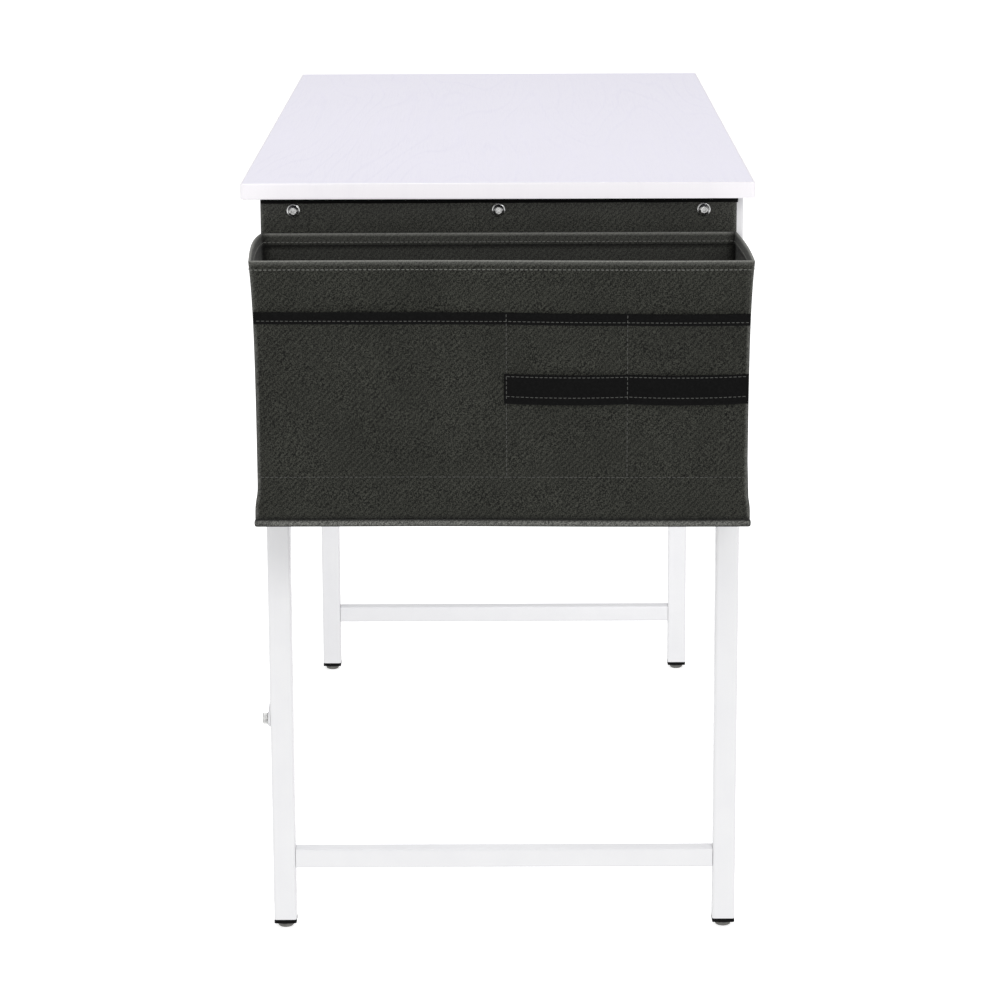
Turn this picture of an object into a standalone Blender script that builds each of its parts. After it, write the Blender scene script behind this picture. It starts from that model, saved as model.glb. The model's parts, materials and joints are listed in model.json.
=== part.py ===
"""Narrow sewing and writing table: a wood-grain top on a steel frame, with a fabric bag on its left end.

Metres, +Z up. X runs along the table's length and the bag hangs past its -X end. The user sits at -Y.
The origin is on the floor, under the centre of the box that holds the table and its bag.
"""

import math

import bmesh
import bpy
from mathutils import Matrix, Vector

# Table top
TOP_LENGTH = 1.000
TOP_DEPTH = 0.480
TABLE_HEIGHT = 0.742
TOP_THICKNESS = 0.015
EDGE_BAND = 0.0015
EDGE_ROUNDING = 0.0009
TOP_CORNER_RADIUS = 0.003

# Steel frame
FRAME_DEPTH = 0.454
FRAME_FORWARD = 0.0037  # the frame and the bag sit this far in front of the top's centre line
END_INSET = 0.024  # from the top's end to the leg's outer face
LEG_SIDE = 0.022
TUBE_WALL = 0.0012
TUBE_CORNER = 0.002
RAIL_HEIGHT = 0.030
RAIL_WIDTH = 0.020
LONG_RAIL_WIDTH = 0.018
LONG_RAIL_SPACING = 0.3854
FOOT_BAR_SIDE = 0.019
FOOT_BAR_BOTTOM = 0.0622
END_PLATE = 0.004

# Feet
FOOT_RADIUS = 0.008
FOOT_HEIGHT = 0.0052
STUD_RADIUS = 0.003
STUD_TOP = 0.027
PLUG_FLANGE = 0.0035
PLUG_INSERT = 0.015
FOOT_PROFILE = (  # shares of the foot's radius and height, from its top edge to its base
    (0.80, 1.00),
    (1.00, 0.72),
    (1.00, 0.45),
    (0.93, 0.18),
    (0.75, 0.00),
)

# Cross brace on the back of the frame
BRACE_LOW = 0.213
BRACE_HIGH = 0.470
BRACE_WIDTH = 0.016
BRACE_THICKNESS = 0.002
BRACE_STEP_HALF = 0.031  # half the length of the straight part that steps over the other bar
BRACE_STEP_RAMP = 0.014
BRACE_BOLT_SHANK = 0.014
CENTRE_BOLT_SHANK = 0.012

# Fasteners
BOLT_RADIUS = 0.003
BOLTS_BACK = 0.0029  # the rails' bolts sit this far behind the frame's centre line
BOLTS_RISE = 0.0020  # and this far above the middle of the rails
HEX_SOCKET = 0.004
HEAD_RADIUS = 0.0052
HEAD_HEIGHT = 0.0036
HEAD_PROFILE = ((0.60, 1.00), (0.86, 0.72), (1.00, 0.25), (1.00, 0.00))  # shares of radius and height
SOCKET_DEPTH = 0.0022
WASHER_RADIUS = 0.0064
WASHER_THICKNESS = 0.0012
WASHER_EASE = 0.0002
HEX_ACROSS_FLATS = 0.010
HEX_HEIGHT = 0.0042
HEX_EASE = 0.0007
NUT_THICKNESS = 0.005
RAIL_BOLT_EXTRA = 0.012  # how far a rail bolt runs on past the long rail's end plate
MIDDLE_BOLT_SHANK = 0.012
SCREW_RADIUS = 0.002
SCREW_HEAD_RADIUS = 0.004
SCREW_HEAD_HEIGHT = 0.0024
SCREW_HOLE_DEPTH = 0.0125
SCREW_PLACES = (-0.35, 0.0, 0.35)  # along the top, from its centre

# Storage bag
BAG_DEPTH = 0.1285
BAG_HALF_WIDTH = 0.2250
BAG_WALL = 0.002
BAG_BOTTOM = 0.4456
BAG_RIM = 0.6915
BAG_RIM_SLOPE = 0.045  # fall of the rim for each metre away from the table
BAG_BOW = 0.0055  # how far the sides bow out at the mouth
BAG_FLARE = 0.0035  # how much wider the front is at the mouth
BAG_CORNER = 0.008
BAG_EDGE_EASE = 0.003  # chamfer around the bottom
BAG_LEVELS = 7  # rings of the shell's mesh above its bottom edge
PIPING_RADIUS = 0.0026
PIPING_INSET = 0.0016  # from the bag's outline to the piping's centre line
FLAP_THICKNESS = 0.0015
FLAP_HALF_WIDTH = 0.2236
FLAP_HEM_GAP = 0.0017  # from the fold to the flap's lower edge
FLAP_TAPE_HEIGHT = 0.0048
HINGE_HEIGHT = 0.6925  # where the flap is sewn to the bag, and where it folds
POCKET_TOP = 0.6389
POCKET_THICKNESS = 0.0012
POCKET_HALF_WIDTH = 0.2160
UPPER_BAND_HEIGHT = 0.0100
LOWER_BAND_BOTTOM = 0.5558
LOWER_BAND_TOP = 0.5808
LOWER_BAND_START = 0.0035  # from the bag's centre line towards the user
BAND_THICKNESS = 0.0012
BOTTOM_BOARD = 0.003
BOARD_CLEARANCE = 0.0025

GAP = 0.0003
ARC_STEPS = 2
ROUND_STEPS = 16
DRILL_SIDES = 10

# Worked out from the sizes above
BAG_REACH = BAG_DEPTH + POCKET_THICKNESS + BAND_THICKNESS + 3 * GAP - END_INSET
TOP_CENTRE_X = BAG_REACH / 2
LEFT_END = TOP_CENTRE_X - TOP_LENGTH / 2
UNDERSIDE = TABLE_HEIGHT - TOP_THICKNESS
FRAME_TOP = UNDERSIDE - GAP
FRAME_Y = -FRAME_FORWARD
TUBE_BOTTOM = FOOT_HEIGHT + GAP + PLUG_FLANGE + GAP
LEG_X = TOP_LENGTH / 2 - END_INSET - LEG_SIDE / 2  # from the top's centre
LEG_Y = (FRAME_DEPTH - LEG_SIDE) / 2  # from the frame's centre line
RAIL_END_X = TOP_LENGTH / 2 - END_INSET - RAIL_WIDTH / 2
RAIL_Z = FRAME_TOP - RAIL_HEIGHT / 2
BOLT_LINE_Y = FRAME_Y + BOLTS_BACK
BOLT_Z = RAIL_Z + BOLTS_RISE
FLAP_X = LEFT_END + END_INSET - GAP - FLAP_THICKNESS / 2
FLAP_TOP = FRAME_TOP - 3 * GAP
BAG_BACK_X = FLAP_X + FLAP_THICKNESS / 2
BAG_FRONT_X = BAG_BACK_X - BAG_DEPTH
BRACE_FACE_Y = FRAME_Y + FRAME_DEPTH / 2 + GAP
BRACE_STEP = BRACE_THICKNESS + GAP
BRACE_CENTRE_Z = (BRACE_HIGH + BRACE_LOW) / 2

SIDES = {"left": -1, "right": 1}
FACES = {"front": -1, "back": 1}
BOLT_SPOTS = {"front": -LONG_RAIL_SPACING / 2, "middle": 0.0, "back": LONG_RAIL_SPACING / 2}

AXIS_TURN = {"X": (0, math.pi / 2, 0), "Y": (-math.pi / 2, 0, 0), "Z": (0, 0, 0)}
OUT_LEFT = Matrix.Rotation(-math.pi / 2, 4, "Y")
OUT_RIGHT = Matrix.Rotation(math.pi / 2, 4, "Y")
OUT_BACK = Matrix.Rotation(-math.pi / 2, 4, "X")
OUT_FRONT = Matrix.Rotation(math.pi / 2, 4, "X")

for leftover in list(bpy.data.objects):
    bpy.data.objects.remove(leftover, do_unlink=True)
parts = bpy.data.collections.new("sewing_table")
cutters = bpy.data.collections.new("cutters")
cutters.hide_render = True
for group in (parts, cutters):
    bpy.context.scene.collection.children.link(group)


# Materials

def make_material(name, colour, roughness, metallic=0.0):
    material = bpy.data.materials.new(name)
    material.use_nodes = True
    shader = material.node_tree.nodes["Principled BSDF"]
    shader.inputs["Base Color"].default_value = (*colour, 1.0)
    shader.inputs["Roughness"].default_value = roughness
    shader.inputs["Metallic"].default_value = metallic
    return material


TOP_WHITE = make_material("white_melamine", (0.90, 0.89, 0.92), 0.45)
BAND_WHITE = make_material("white_edge_band", (0.91, 0.89, 0.91), 0.4)
FRAME_WHITE = make_material("white_powder_coat", (0.88, 0.88, 0.89), 0.42)
ZINC = make_material("zinc_plated_steel", (0.75, 0.75, 0.74), 0.25, 1.0)
BLACK_PLASTIC = make_material("black_plastic", (0.03, 0.03, 0.03), 0.5)
GREY_PLASTIC = make_material("grey_plastic", (0.36, 0.36, 0.36), 0.55)
BAG_CLOTH = make_material("charcoal_cloth", (0.045, 0.045, 0.04), 0.95)
BAND_CLOTH = make_material("black_webbing", (0.008, 0.008, 0.008), 0.9)
PIPING_CLOTH = make_material("grey_piping", (0.12, 0.12, 0.11), 0.9)
BOARD = make_material("grey_board", (0.25, 0.24, 0.22), 0.8)


# Shape helpers

def finish(body, material):
    """Files a body under the table's parts, with its material."""
    for group in list(body.users_collection):
        group.objects.unlink(body)
    parts.objects.link(body)
    body.data.materials.clear()
    body.data.materials.append(material)
    return body


def as_tool(body, name):
    """Files a body under the cutters, out of the render."""
    for group in list(body.users_collection):
        group.objects.unlink(body)
    cutters.objects.link(body)
    body.name = name
    body.hide_render = True
    body.display_type = "WIRE"
    return body


def object_from(name, bm):
    mesh = bpy.data.meshes.new(name)
    bm.to_mesh(mesh)
    bm.free()
    body = bpy.data.objects.new(name, mesh)
    bpy.context.scene.collection.objects.link(body)
    return body


def box(name, size, centre):
    bm = bmesh.new()
    bmesh.ops.create_cube(bm, size=1.0)
    bmesh.ops.scale(bm, vec=Vector(size), verts=bm.verts)
    body = object_from(name, bm)
    body.location = centre
    return body


def prism(name, radius, length, centre, axis="Z", sides=ROUND_STEPS):
    """A round bar, or a hexagonal one with six sides, along a world axis."""
    bm = bmesh.new()
    bmesh.ops.create_cone(
        bm, cap_ends=True, segments=sides, radius1=radius, radius2=radius, depth=length
    )
    body = object_from(name, bm)
    body.location = centre
    body.rotation_euler = AXIS_TURN[axis]
    return body



def rounded_rectangle(width, height, radius):
    """Outline of a rectangle with arcs at its corners, anticlockwise."""
    outline = []
    for quarter, (side_x, side_y) in enumerate(((1, 1), (-1, 1), (-1, -1), (1, -1))):
        centre = Vector((side_x * (width / 2 - radius), side_y * (height / 2 - radius)))
        for step in range(ARC_STEPS + 1):
            angle = math.pi / 2 * (quarter + step / ARC_STEPS)
            outline.append(centre + radius * Vector((math.cos(angle), math.sin(angle))))
    return outline


def stadium(length, width, steps=6):
    """Outline of a bar with round ends, along X."""
    outline = []
    for end in (1, -1):
        centre = Vector((end * (length - width) / 2, 0))
        for step in range(steps + 1):
            angle = math.pi * (step / steps - end / 2)
            outline.append(centre + width / 2 * Vector((math.cos(angle), math.sin(angle))))
    return outline


def circle(centre, radius, steps=ROUND_STEPS):
    turns = [2 * math.pi * step / steps for step in range(steps)]
    return [Vector(centre) + radius * Vector((math.cos(a), math.sin(a))) for a in turns]


def extruded(name, outlines, length):
    """A flat outline, with any holes, extruded along its own Z."""
    curve = bpy.data.curves.new(name, "CURVE")
    curve.dimensions = "2D"
    curve.fill_mode = "BOTH"
    curve.extrude = length / 2
    for outline in outlines:
        spline = curve.splines.new("POLY")
        spline.points.add(len(outline) - 1)
        for point, place in zip(spline.points, outline):
            point.co = (place.x, place.y, 0.0, 1.0)
        spline.use_cyclic_u = True
    guide = bpy.data.objects.new(name + "_outline", curve)
    bpy.context.scene.collection.objects.link(guide)
    graph = bpy.context.evaluated_depsgraph_get()
    mesh = bpy.data.meshes.new_from_object(guide.evaluated_get(graph))
    bpy.data.objects.remove(guide, do_unlink=True)
    bpy.data.curves.remove(curve)
    bm = bmesh.new()
    bm.from_mesh(mesh)
    bpy.data.meshes.remove(mesh)
    bmesh.ops.remove_doubles(bm, verts=bm.verts, dist=1e-6)
    return object_from(name, bm)


def tube(name, width, height, length, centre, axis):
    """A square or rectangular steel tube. With axis X, width is vertical; with Y, height is."""
    outer = rounded_rectangle(width, height, TUBE_CORNER)
    inner = rounded_rectangle(
        width - 2 * TUBE_WALL, height - 2 * TUBE_WALL, TUBE_CORNER - TUBE_WALL
    )
    body = extruded(name, (outer, inner), length)
    body.location = centre
    body.rotation_euler = AXIS_TURN[axis]
    return finish(body, FRAME_WHITE)


def turned(name, profile):
    """A solid of revolution about its own Z; the profile runs down its outer side from the axis."""
    bm = bmesh.new()
    corners = [bm.verts.new((radius, 0.0, height)) for radius, height in profile]
    for upper, lower in zip(corners, corners[1:]):
        bm.edges.new((upper, lower))
    body = object_from(name, bm)
    screw = body.modifiers.new("turn", "SCREW")
    screw.steps = ROUND_STEPS
    screw.render_steps = ROUND_STEPS
    screw.use_merge_vertices = True
    screw.merge_threshold = 0.00001
    screw.use_smooth_shade = True
    return body


def boolean(body, tool, operation):
    modifier = body.modifiers.new(operation.lower(), "BOOLEAN")
    modifier.operation = operation
    modifier.solver = "EXACT"
    modifier.object = tool


def drill(body, radius, length, centre, axis):
    tool = prism("drill", radius, length, centre, axis, DRILL_SIDES)
    boolean(body, as_tool(tool, body.name + "_drill"), "DIFFERENCE")


# Table top

def screw_spots():
    """(x, y) of each screw that holds the top to the long rails."""
    for face in FACES.values():
        for place in SCREW_PLACES:
            yield TOP_CENTRE_X + place, BOLT_LINE_Y + face * LONG_RAIL_SPACING / 2


def make_top_board():
    centre_z = UNDERSIDE + TOP_THICKNESS / 2
    inset = 2 * (EDGE_BAND + GAP / 2)
    outline = rounded_rectangle(
        TOP_LENGTH - inset, TOP_DEPTH - inset, TOP_CORNER_RADIUS - EDGE_BAND
    )
    board = extruded("top_board", (outline,), TOP_THICKNESS)
    board.location = (TOP_CENTRE_X, 0, centre_z)
    finish(board, TOP_WHITE)
    for x, y in screw_spots():
        drill(board, SCREW_RADIUS + GAP, 2 * SCREW_HOLE_DEPTH, (x, y, UNDERSIDE), "Z")


def make_edge_band():
    outer = rounded_rectangle(TOP_LENGTH, TOP_DEPTH, TOP_CORNER_RADIUS)
    inner = rounded_rectangle(
        TOP_LENGTH - 2 * EDGE_BAND, TOP_DEPTH - 2 * EDGE_BAND, TOP_CORNER_RADIUS - EDGE_BAND
    )
    band = extruded("edge_band", (outer, inner), TOP_THICKNESS)
    bm = bmesh.new()
    bm.from_mesh(band.data)
    across_half = TOP_DEPTH / 2 - EDGE_BAND / 2
    along_half = TOP_LENGTH / 2 - EDGE_BAND / 2

    def on_outer_rim(edge):
        flat = abs(edge.verts[0].co.z - edge.verts[1].co.z) < GAP
        outside = all(abs(v.co.x) > along_half or abs(v.co.y) > across_half for v in edge.verts)
        upright = any(abs(face.normal.z) < 0.5 for face in edge.link_faces)
        return flat and outside and upright

    rim = [edge for edge in bm.edges if on_outer_rim(edge)]
    bmesh.ops.bevel(bm, geom=rim, offset=EDGE_ROUNDING, segments=3, profile=0.5, affect="EDGES")
    bm.to_mesh(band.data)
    bm.free()
    band.location = (TOP_CENTRE_X, 0, UNDERSIDE + TOP_THICKNESS / 2)
    finish(band, BAND_WHITE)


# Steel frame

def make_legs():
    length = FRAME_TOP - TUBE_BOTTOM
    for side, sign_x in SIDES.items():
        for face, sign_y in FACES.items():
            centre = Vector(
                (TOP_CENTRE_X + sign_x * LEG_X, FRAME_Y + sign_y * LEG_Y, TUBE_BOTTOM + length / 2)
            )
            leg = tube(f"leg_{face}_{side}", LEG_SIDE, LEG_SIDE, length, centre, "Z")
            if face == "back":
                for height in (BRACE_LOW, BRACE_HIGH):
                    hole = Vector((centre.x, centre.y + LEG_SIDE / 2, height))
                    drill(leg, BOLT_RADIUS + GAP, LEG_SIDE / 2, hole, "Y")


def make_end_rails():
    """The tube across the top of each end, drilled for the three bolts through it."""
    length = FRAME_DEPTH - 2 * LEG_SIDE - 2 * GAP
    for side, sign_x in SIDES.items():
        centre = (TOP_CENTRE_X + sign_x * RAIL_END_X, FRAME_Y, RAIL_Z)
        rail = tube(f"end_rail_{side}", RAIL_WIDTH, RAIL_HEIGHT, length, centre, "Y")
        for offset in BOLT_SPOTS.values():
            hole = (centre[0], BOLT_LINE_Y + offset, BOLT_Z)
            drill(rail, BOLT_RADIUS + GAP, 2 * RAIL_WIDTH, hole, "X")


def make_foot_bars():
    length = FRAME_DEPTH - 2 * LEG_SIDE - 2 * GAP
    for side, sign_x in SIDES.items():
        height = FOOT_BAR_BOTTOM + FOOT_BAR_SIDE / 2
        centre = (TOP_CENTRE_X + sign_x * LEG_X, FRAME_Y, height)
        tube(f"foot_bar_{side}", FOOT_BAR_SIDE, FOOT_BAR_SIDE, length, centre, "Y")


def make_long_rails():
    """The front and back rails, with a drilled plate in each end and access holes for the screws."""
    half = RAIL_END_X - RAIL_WIDTH / 2 - GAP
    recess = TUBE_WALL / 2
    for face, sign_y in FACES.items():
        y = BOLT_LINE_Y + sign_y * LONG_RAIL_SPACING / 2
        rail = tube(
            f"long_rail_{face}", RAIL_HEIGHT, LONG_RAIL_WIDTH, 2 * half, (TOP_CENTRE_X, y, RAIL_Z), "X"
        )
        for side, sign_x in SIDES.items():
            x = TOP_CENTRE_X + sign_x * (half - recess - END_PLATE / 2)
            size = (END_PLATE, LONG_RAIL_WIDTH - TUBE_WALL, RAIL_HEIGHT - TUBE_WALL)
            plate = box("plate", size, (x, y, RAIL_Z))
            boolean(rail, as_tool(plate, f"end_plate_{face}_{side}"), "UNION")
            drill(rail, BOLT_RADIUS + GAP, 3 * END_PLATE, (x, y, BOLT_Z), "X")
        for place in SCREW_PLACES:
            x = TOP_CENTRE_X + place
            bottom = RAIL_Z - RAIL_HEIGHT / 2
            drill(rail, SCREW_HEAD_RADIUS + 2 * GAP, RAIL_HEIGHT / 2, (x, y, bottom), "Z")
            drill(rail, SCREW_RADIUS + GAP, RAIL_HEIGHT / 2, (x, y, FRAME_TOP), "Z")


# Cross brace

def brace_line(level):
    """Length between bolts and slope angle of a brace bar; bar a rises to the right and bar b to the left."""
    rise = BRACE_HIGH - BRACE_LOW
    span = 2 * LEG_X
    slope = math.atan2(rise, span) * (1 if level == "a" else -1)
    return math.hypot(span, rise), slope


def make_brace_bar(level):
    """A flat bar with round ends and three holes. Bar b steps outwards where it crosses bar a."""
    between_bolts, slope = brace_line(level)
    holes = (-between_bolts / 2, 0, between_bolts / 2)
    outline = [stadium(between_bolts + BRACE_WIDTH, BRACE_WIDTH)]
    outline += [circle((x, 0), BOLT_RADIUS + GAP, DRILL_SIDES) for x in holes]
    tilt = Matrix.Rotation(-slope, 4, "Y")
    turn = tilt @ Matrix.Rotation(math.pi / 2, 4, "X")
    middle = Matrix.Translation((TOP_CENTRE_X, BRACE_FACE_Y + BRACE_THICKNESS / 2, BRACE_CENTRE_Z))
    if level == "a":
        bar = extruded("brace_bar_a", outline, BRACE_THICKNESS)
        bar.matrix_world = middle @ turn
        finish(bar, FRAME_WHITE)
        return
    flat = extruded("brace_outline", outline, 8 * BRACE_THICKNESS)
    flat.matrix_world = middle @ turn
    reach = between_bolts / 2 + BRACE_WIDTH
    near, far = BRACE_STEP_HALF, BRACE_STEP_HALF + BRACE_STEP_RAMP
    low = [(-reach, 0), (-far, 0), (-near, BRACE_STEP), (near, BRACE_STEP), (far, 0), (reach, 0)]
    profile = [Vector((x, y)) for x, y in low]
    profile += [Vector((x, y + BRACE_THICKNESS)) for x, y in reversed(low)]
    bar = extruded("brace_bar_b", (profile,), 2 * BRACE_WIDTH)
    bar.matrix_world = Matrix.Translation((TOP_CENTRE_X, BRACE_FACE_Y, BRACE_CENTRE_Z)) @ tilt
    boolean(bar, as_tool(flat, "brace_bar_b_outline"), "INTERSECT")
    finish(bar, FRAME_WHITE)


# Fasteners

def round_head_bolt(name, shank, place, axis_turn):
    """A button-head bolt with a hexagonal socket. Its seat is at place and its shank runs down its own -Z."""
    profile = [(0, HEAD_HEIGHT)]
    profile += [(radius * HEAD_RADIUS, height * HEAD_HEIGHT) for radius, height in HEAD_PROFILE]
    profile += [
        (BOLT_RADIUS, 0),
        (BOLT_RADIUS, -shank + GAP),
        (BOLT_RADIUS - GAP, -shank),
        (0, -shank),
    ]
    bolt = turned(name, profile)
    frame = Matrix.Translation(place) @ axis_turn
    bolt.matrix_world = frame
    socket = prism("socket", HEX_SOCKET / math.sqrt(3), 2 * SOCKET_DEPTH, (0, 0, 0), sides=6)
    socket.matrix_world = frame @ Matrix.Translation((0, 0, HEAD_HEIGHT))
    boolean(bolt, as_tool(socket, name + "_socket"), "DIFFERENCE")
    finish(bolt, ZINC)


def hex_flange_bolt(name, shank, place, axis_turn):
    """A hexagon-head bolt with a round flange under its head, made in one piece."""
    flange = WASHER_THICKNESS
    profile = [
        (0, flange),
        (0.8 * WASHER_RADIUS, flange),
        (WASHER_RADIUS, 0.5 * flange),
        (WASHER_RADIUS, 0),
        (BOLT_RADIUS, 0),
        (BOLT_RADIUS, -shank),
        (0, -shank),
    ]
    bolt = turned(name, profile)
    frame = Matrix.Translation(place) @ axis_turn
    bolt.matrix_world = frame
    top = flange + HEX_HEIGHT
    head = turned_hexagon(name + "_head", top - flange / 2)
    head.matrix_world = frame @ Matrix.Translation((0, 0, flange / 2))
    boolean(bolt, as_tool(head, name + "_head"), "UNION")
    finish(bolt, ZINC)


def turned_hexagon(name, height):
    """A hexagonal head with its top corners eased by a cone, standing on its own origin."""
    radius = HEX_ACROSS_FLATS / math.sqrt(3)
    bm = bmesh.new()
    bmesh.ops.create_cone(
        bm, cap_ends=True, segments=6, radius1=radius, radius2=radius, depth=height
    )
    bmesh.ops.translate(bm, vec=(0, 0, height / 2), verts=bm.verts)
    rim = [edge for edge in bm.edges if all(v.co.z > height - GAP for v in edge.verts)]
    bmesh.ops.bevel(bm, geom=rim, offset=HEX_EASE, segments=2, profile=0.5, affect="EDGES")
    return object_from(name, bm)


def washer(name, place, axis_turn):
    hole = BOLT_RADIUS + GAP
    top = WASHER_THICKNESS / 2
    profile = [
        (hole, top),
        (WASHER_RADIUS - WASHER_EASE, top),
        (WASHER_RADIUS, top - WASHER_EASE),
        (WASHER_RADIUS, -top),
        (hole, -top),
        (hole, top),
    ]
    ring = turned(name, profile)
    ring.matrix_world = Matrix.Translation(place) @ axis_turn
    finish(ring, ZINC)


def make_end_bolts():
    """Three bolts clamp the bag's flap and the rails on the left; two hold the rails on the right."""
    reach = END_PLATE + RAIL_WIDTH + RAIL_BOLT_EXTRA
    washer_x = FLAP_X - FLAP_THICKNESS / 2 - GAP - WASHER_THICKNESS / 2
    seat_x = washer_x - WASHER_THICKNESS / 2 - GAP
    for spot, offset in BOLT_SPOTS.items():
        y = BOLT_LINE_Y + offset
        shank = MIDDLE_BOLT_SHANK if spot == "middle" else reach
        washer(f"bag_washer_{spot}", (washer_x, y, BOLT_Z), OUT_LEFT)
        round_head_bolt(f"bag_bolt_{spot}", shank, (seat_x, y, BOLT_Z), OUT_LEFT)
    outer_face = TOP_CENTRE_X + RAIL_END_X + RAIL_WIDTH / 2
    washer_x = outer_face + GAP + WASHER_THICKNESS / 2
    seat_x = washer_x + WASHER_THICKNESS / 2 + GAP
    for face in FACES:
        y = BOLT_LINE_Y + BOLT_SPOTS[face]
        washer(f"rail_washer_{face}", (washer_x, y, BOLT_Z), OUT_RIGHT)
        round_head_bolt(f"rail_bolt_{face}", reach, (seat_x, y, BOLT_Z), OUT_RIGHT)


def hex_nut(name, place, axis_turn):
    outline = circle((0, 0), HEX_ACROSS_FLATS / math.sqrt(3), steps=6)
    nut = extruded(name, (outline, circle((0, 0), BOLT_RADIUS + GAP)), NUT_THICKNESS)
    nut.matrix_world = Matrix.Translation(place) @ axis_turn
    finish(nut, ZINC)


def make_middle_nut():
    """The nut inside the left end rail that takes the bag's middle bolt."""
    wall_inside = LEFT_END + END_INSET + TUBE_WALL
    place = (wall_inside + GAP + NUT_THICKNESS / 2, BOLT_LINE_Y, BOLT_Z)
    hex_nut("bag_middle_nut", place, OUT_LEFT)


def make_brace_bolts():
    """Four bolts into the back legs, and one with a nut through the crossing."""
    for side, sign_x in SIDES.items():
        for label, height in (("low", BRACE_LOW), ("high", BRACE_HIGH)):
            seat_y = BRACE_FACE_Y + BRACE_THICKNESS + GAP
            place = (TOP_CENTRE_X + sign_x * LEG_X, seat_y, height)
            hex_flange_bolt(f"brace_bolt_{side}_{label}", BRACE_BOLT_SHANK, place, OUT_BACK)
    seat_y = BRACE_FACE_Y + BRACE_STEP + BRACE_THICKNESS + GAP
    place = (TOP_CENTRE_X, seat_y, BRACE_CENTRE_Z)
    hex_flange_bolt("brace_centre_bolt", CENTRE_BOLT_SHANK, place, OUT_BACK)
    place = (TOP_CENTRE_X, BRACE_FACE_Y - GAP - NUT_THICKNESS / 2, BRACE_CENTRE_Z)
    hex_nut("brace_centre_nut", place, OUT_FRONT)


def make_top_screws():
    """Pan-head screws inside the long rails, driven up through the access holes into the top."""
    head_top = FRAME_TOP - TUBE_WALL - GAP
    for number, (x, y) in enumerate(screw_spots(), start=1):
        tip = UNDERSIDE + SCREW_HOLE_DEPTH - 4 * GAP - head_top
        profile = [
            (0, tip),
            (SCREW_RADIUS / 2, tip - SCREW_RADIUS / 2),
            (SCREW_RADIUS, tip - 2 * SCREW_RADIUS),
            (SCREW_RADIUS, 0),
            (SCREW_HEAD_RADIUS, 0),
            (SCREW_HEAD_RADIUS, -0.6 * SCREW_HEAD_HEIGHT),
            (0.7 * SCREW_HEAD_RADIUS, -SCREW_HEAD_HEIGHT),
            (0, -SCREW_HEAD_HEIGHT),
        ]
        screw = turned(f"top_screw_{number}", profile)
        screw.location = (x, y, head_top)
        finish(screw, ZINC)


# Feet

def make_feet():
    """A plug in the end of each leg, and a levelling foot whose stud runs up through it."""
    for side, sign_x in SIDES.items():
        for face, sign_y in FACES.items():
            x = TOP_CENTRE_X + sign_x * LEG_X
            y = FRAME_Y + sign_y * LEG_Y
            flange_bottom = FOOT_HEIGHT + GAP
            flange = extruded(
                f"leg_plug_{face}_{side}",
                (
                    rounded_rectangle(LEG_SIDE, LEG_SIDE, TUBE_CORNER),
                    circle((0, 0), STUD_RADIUS + GAP),
                ),
                PLUG_FLANGE,
            )
            flange.location = (x, y, flange_bottom + PLUG_FLANGE / 2)
            inside = LEG_SIDE - 2 * TUBE_WALL - 2 * GAP
            insert = extruded(
                "insert",
                (
                    rounded_rectangle(inside, inside, TUBE_WALL),
                    circle((0, 0), STUD_RADIUS + 2 * GAP),
                ),
                PLUG_INSERT,
            )
            insert.location = (x, y, TUBE_BOTTOM - PLUG_FLANGE / 2 + PLUG_INSERT / 2)
            boolean(flange, as_tool(insert, flange.name + "_insert"), "UNION")
            finish(flange, BLACK_PLASTIC)
            foot = turned(f"levelling_foot_{face}_{side}", foot_profile())
            foot.location = (x, y, 0)
            finish(foot, GREY_PLASTIC)


def foot_profile():
    """A low dome on a flat base, with a threaded stud on top."""
    profile = [
        (0, STUD_TOP),
        (STUD_RADIUS - GAP, STUD_TOP),
        (STUD_RADIUS, STUD_TOP - 2 * GAP),
        (STUD_RADIUS, FOOT_HEIGHT),
    ]
    profile += [(radius * FOOT_RADIUS, height * FOOT_HEIGHT) for radius, height in FOOT_PROFILE]
    profile.append((0, 0))
    return profile


# Storage bag. Its own frame: out is the distance from its back wall, across runs to the back, up is Z.

def bag_outline(half_width, flare, bow, inset=0.0):
    """Plan outline of the bag as (out, across), with round corners and sides that bow out."""
    depth = BAG_DEPTH - 2 * inset
    outline = []
    side_steps = 6
    for sign in (1, -1):
        side = []
        for step in range(side_steps + 1):
            share = step / side_steps
            out = BAG_CORNER + (depth - 2 * BAG_CORNER) * share
            across = half_width - inset + flare * share + bow * math.sin(math.pi * share)
            side.append((inset + out, across))
        back_corner = [(inset, side[0][1] - BAG_CORNER)]
        front_corner = [(inset + depth, side[-1][1] - BAG_CORNER)]
        for step in range(1, ARC_STEPS + 1):
            angle = math.pi / 2 * step / (ARC_STEPS + 1)
            back = BAG_CORNER * (1 - math.cos(angle)), BAG_CORNER * (1 - math.sin(angle))
            back_corner.append((inset + back[0], side[0][1] - back[1]))
            front_corner.append((inset + depth - back[0], side[-1][1] - back[1]))
        front_corner.reverse()
        half = back_corner + side + front_corner
        outline += half if sign > 0 else [(out, -across) for out, across in reversed(half)]
    return outline


def bag_point(out, across, height):
    return Vector((BAG_BACK_X - out, FRAME_Y + across, height))


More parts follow.
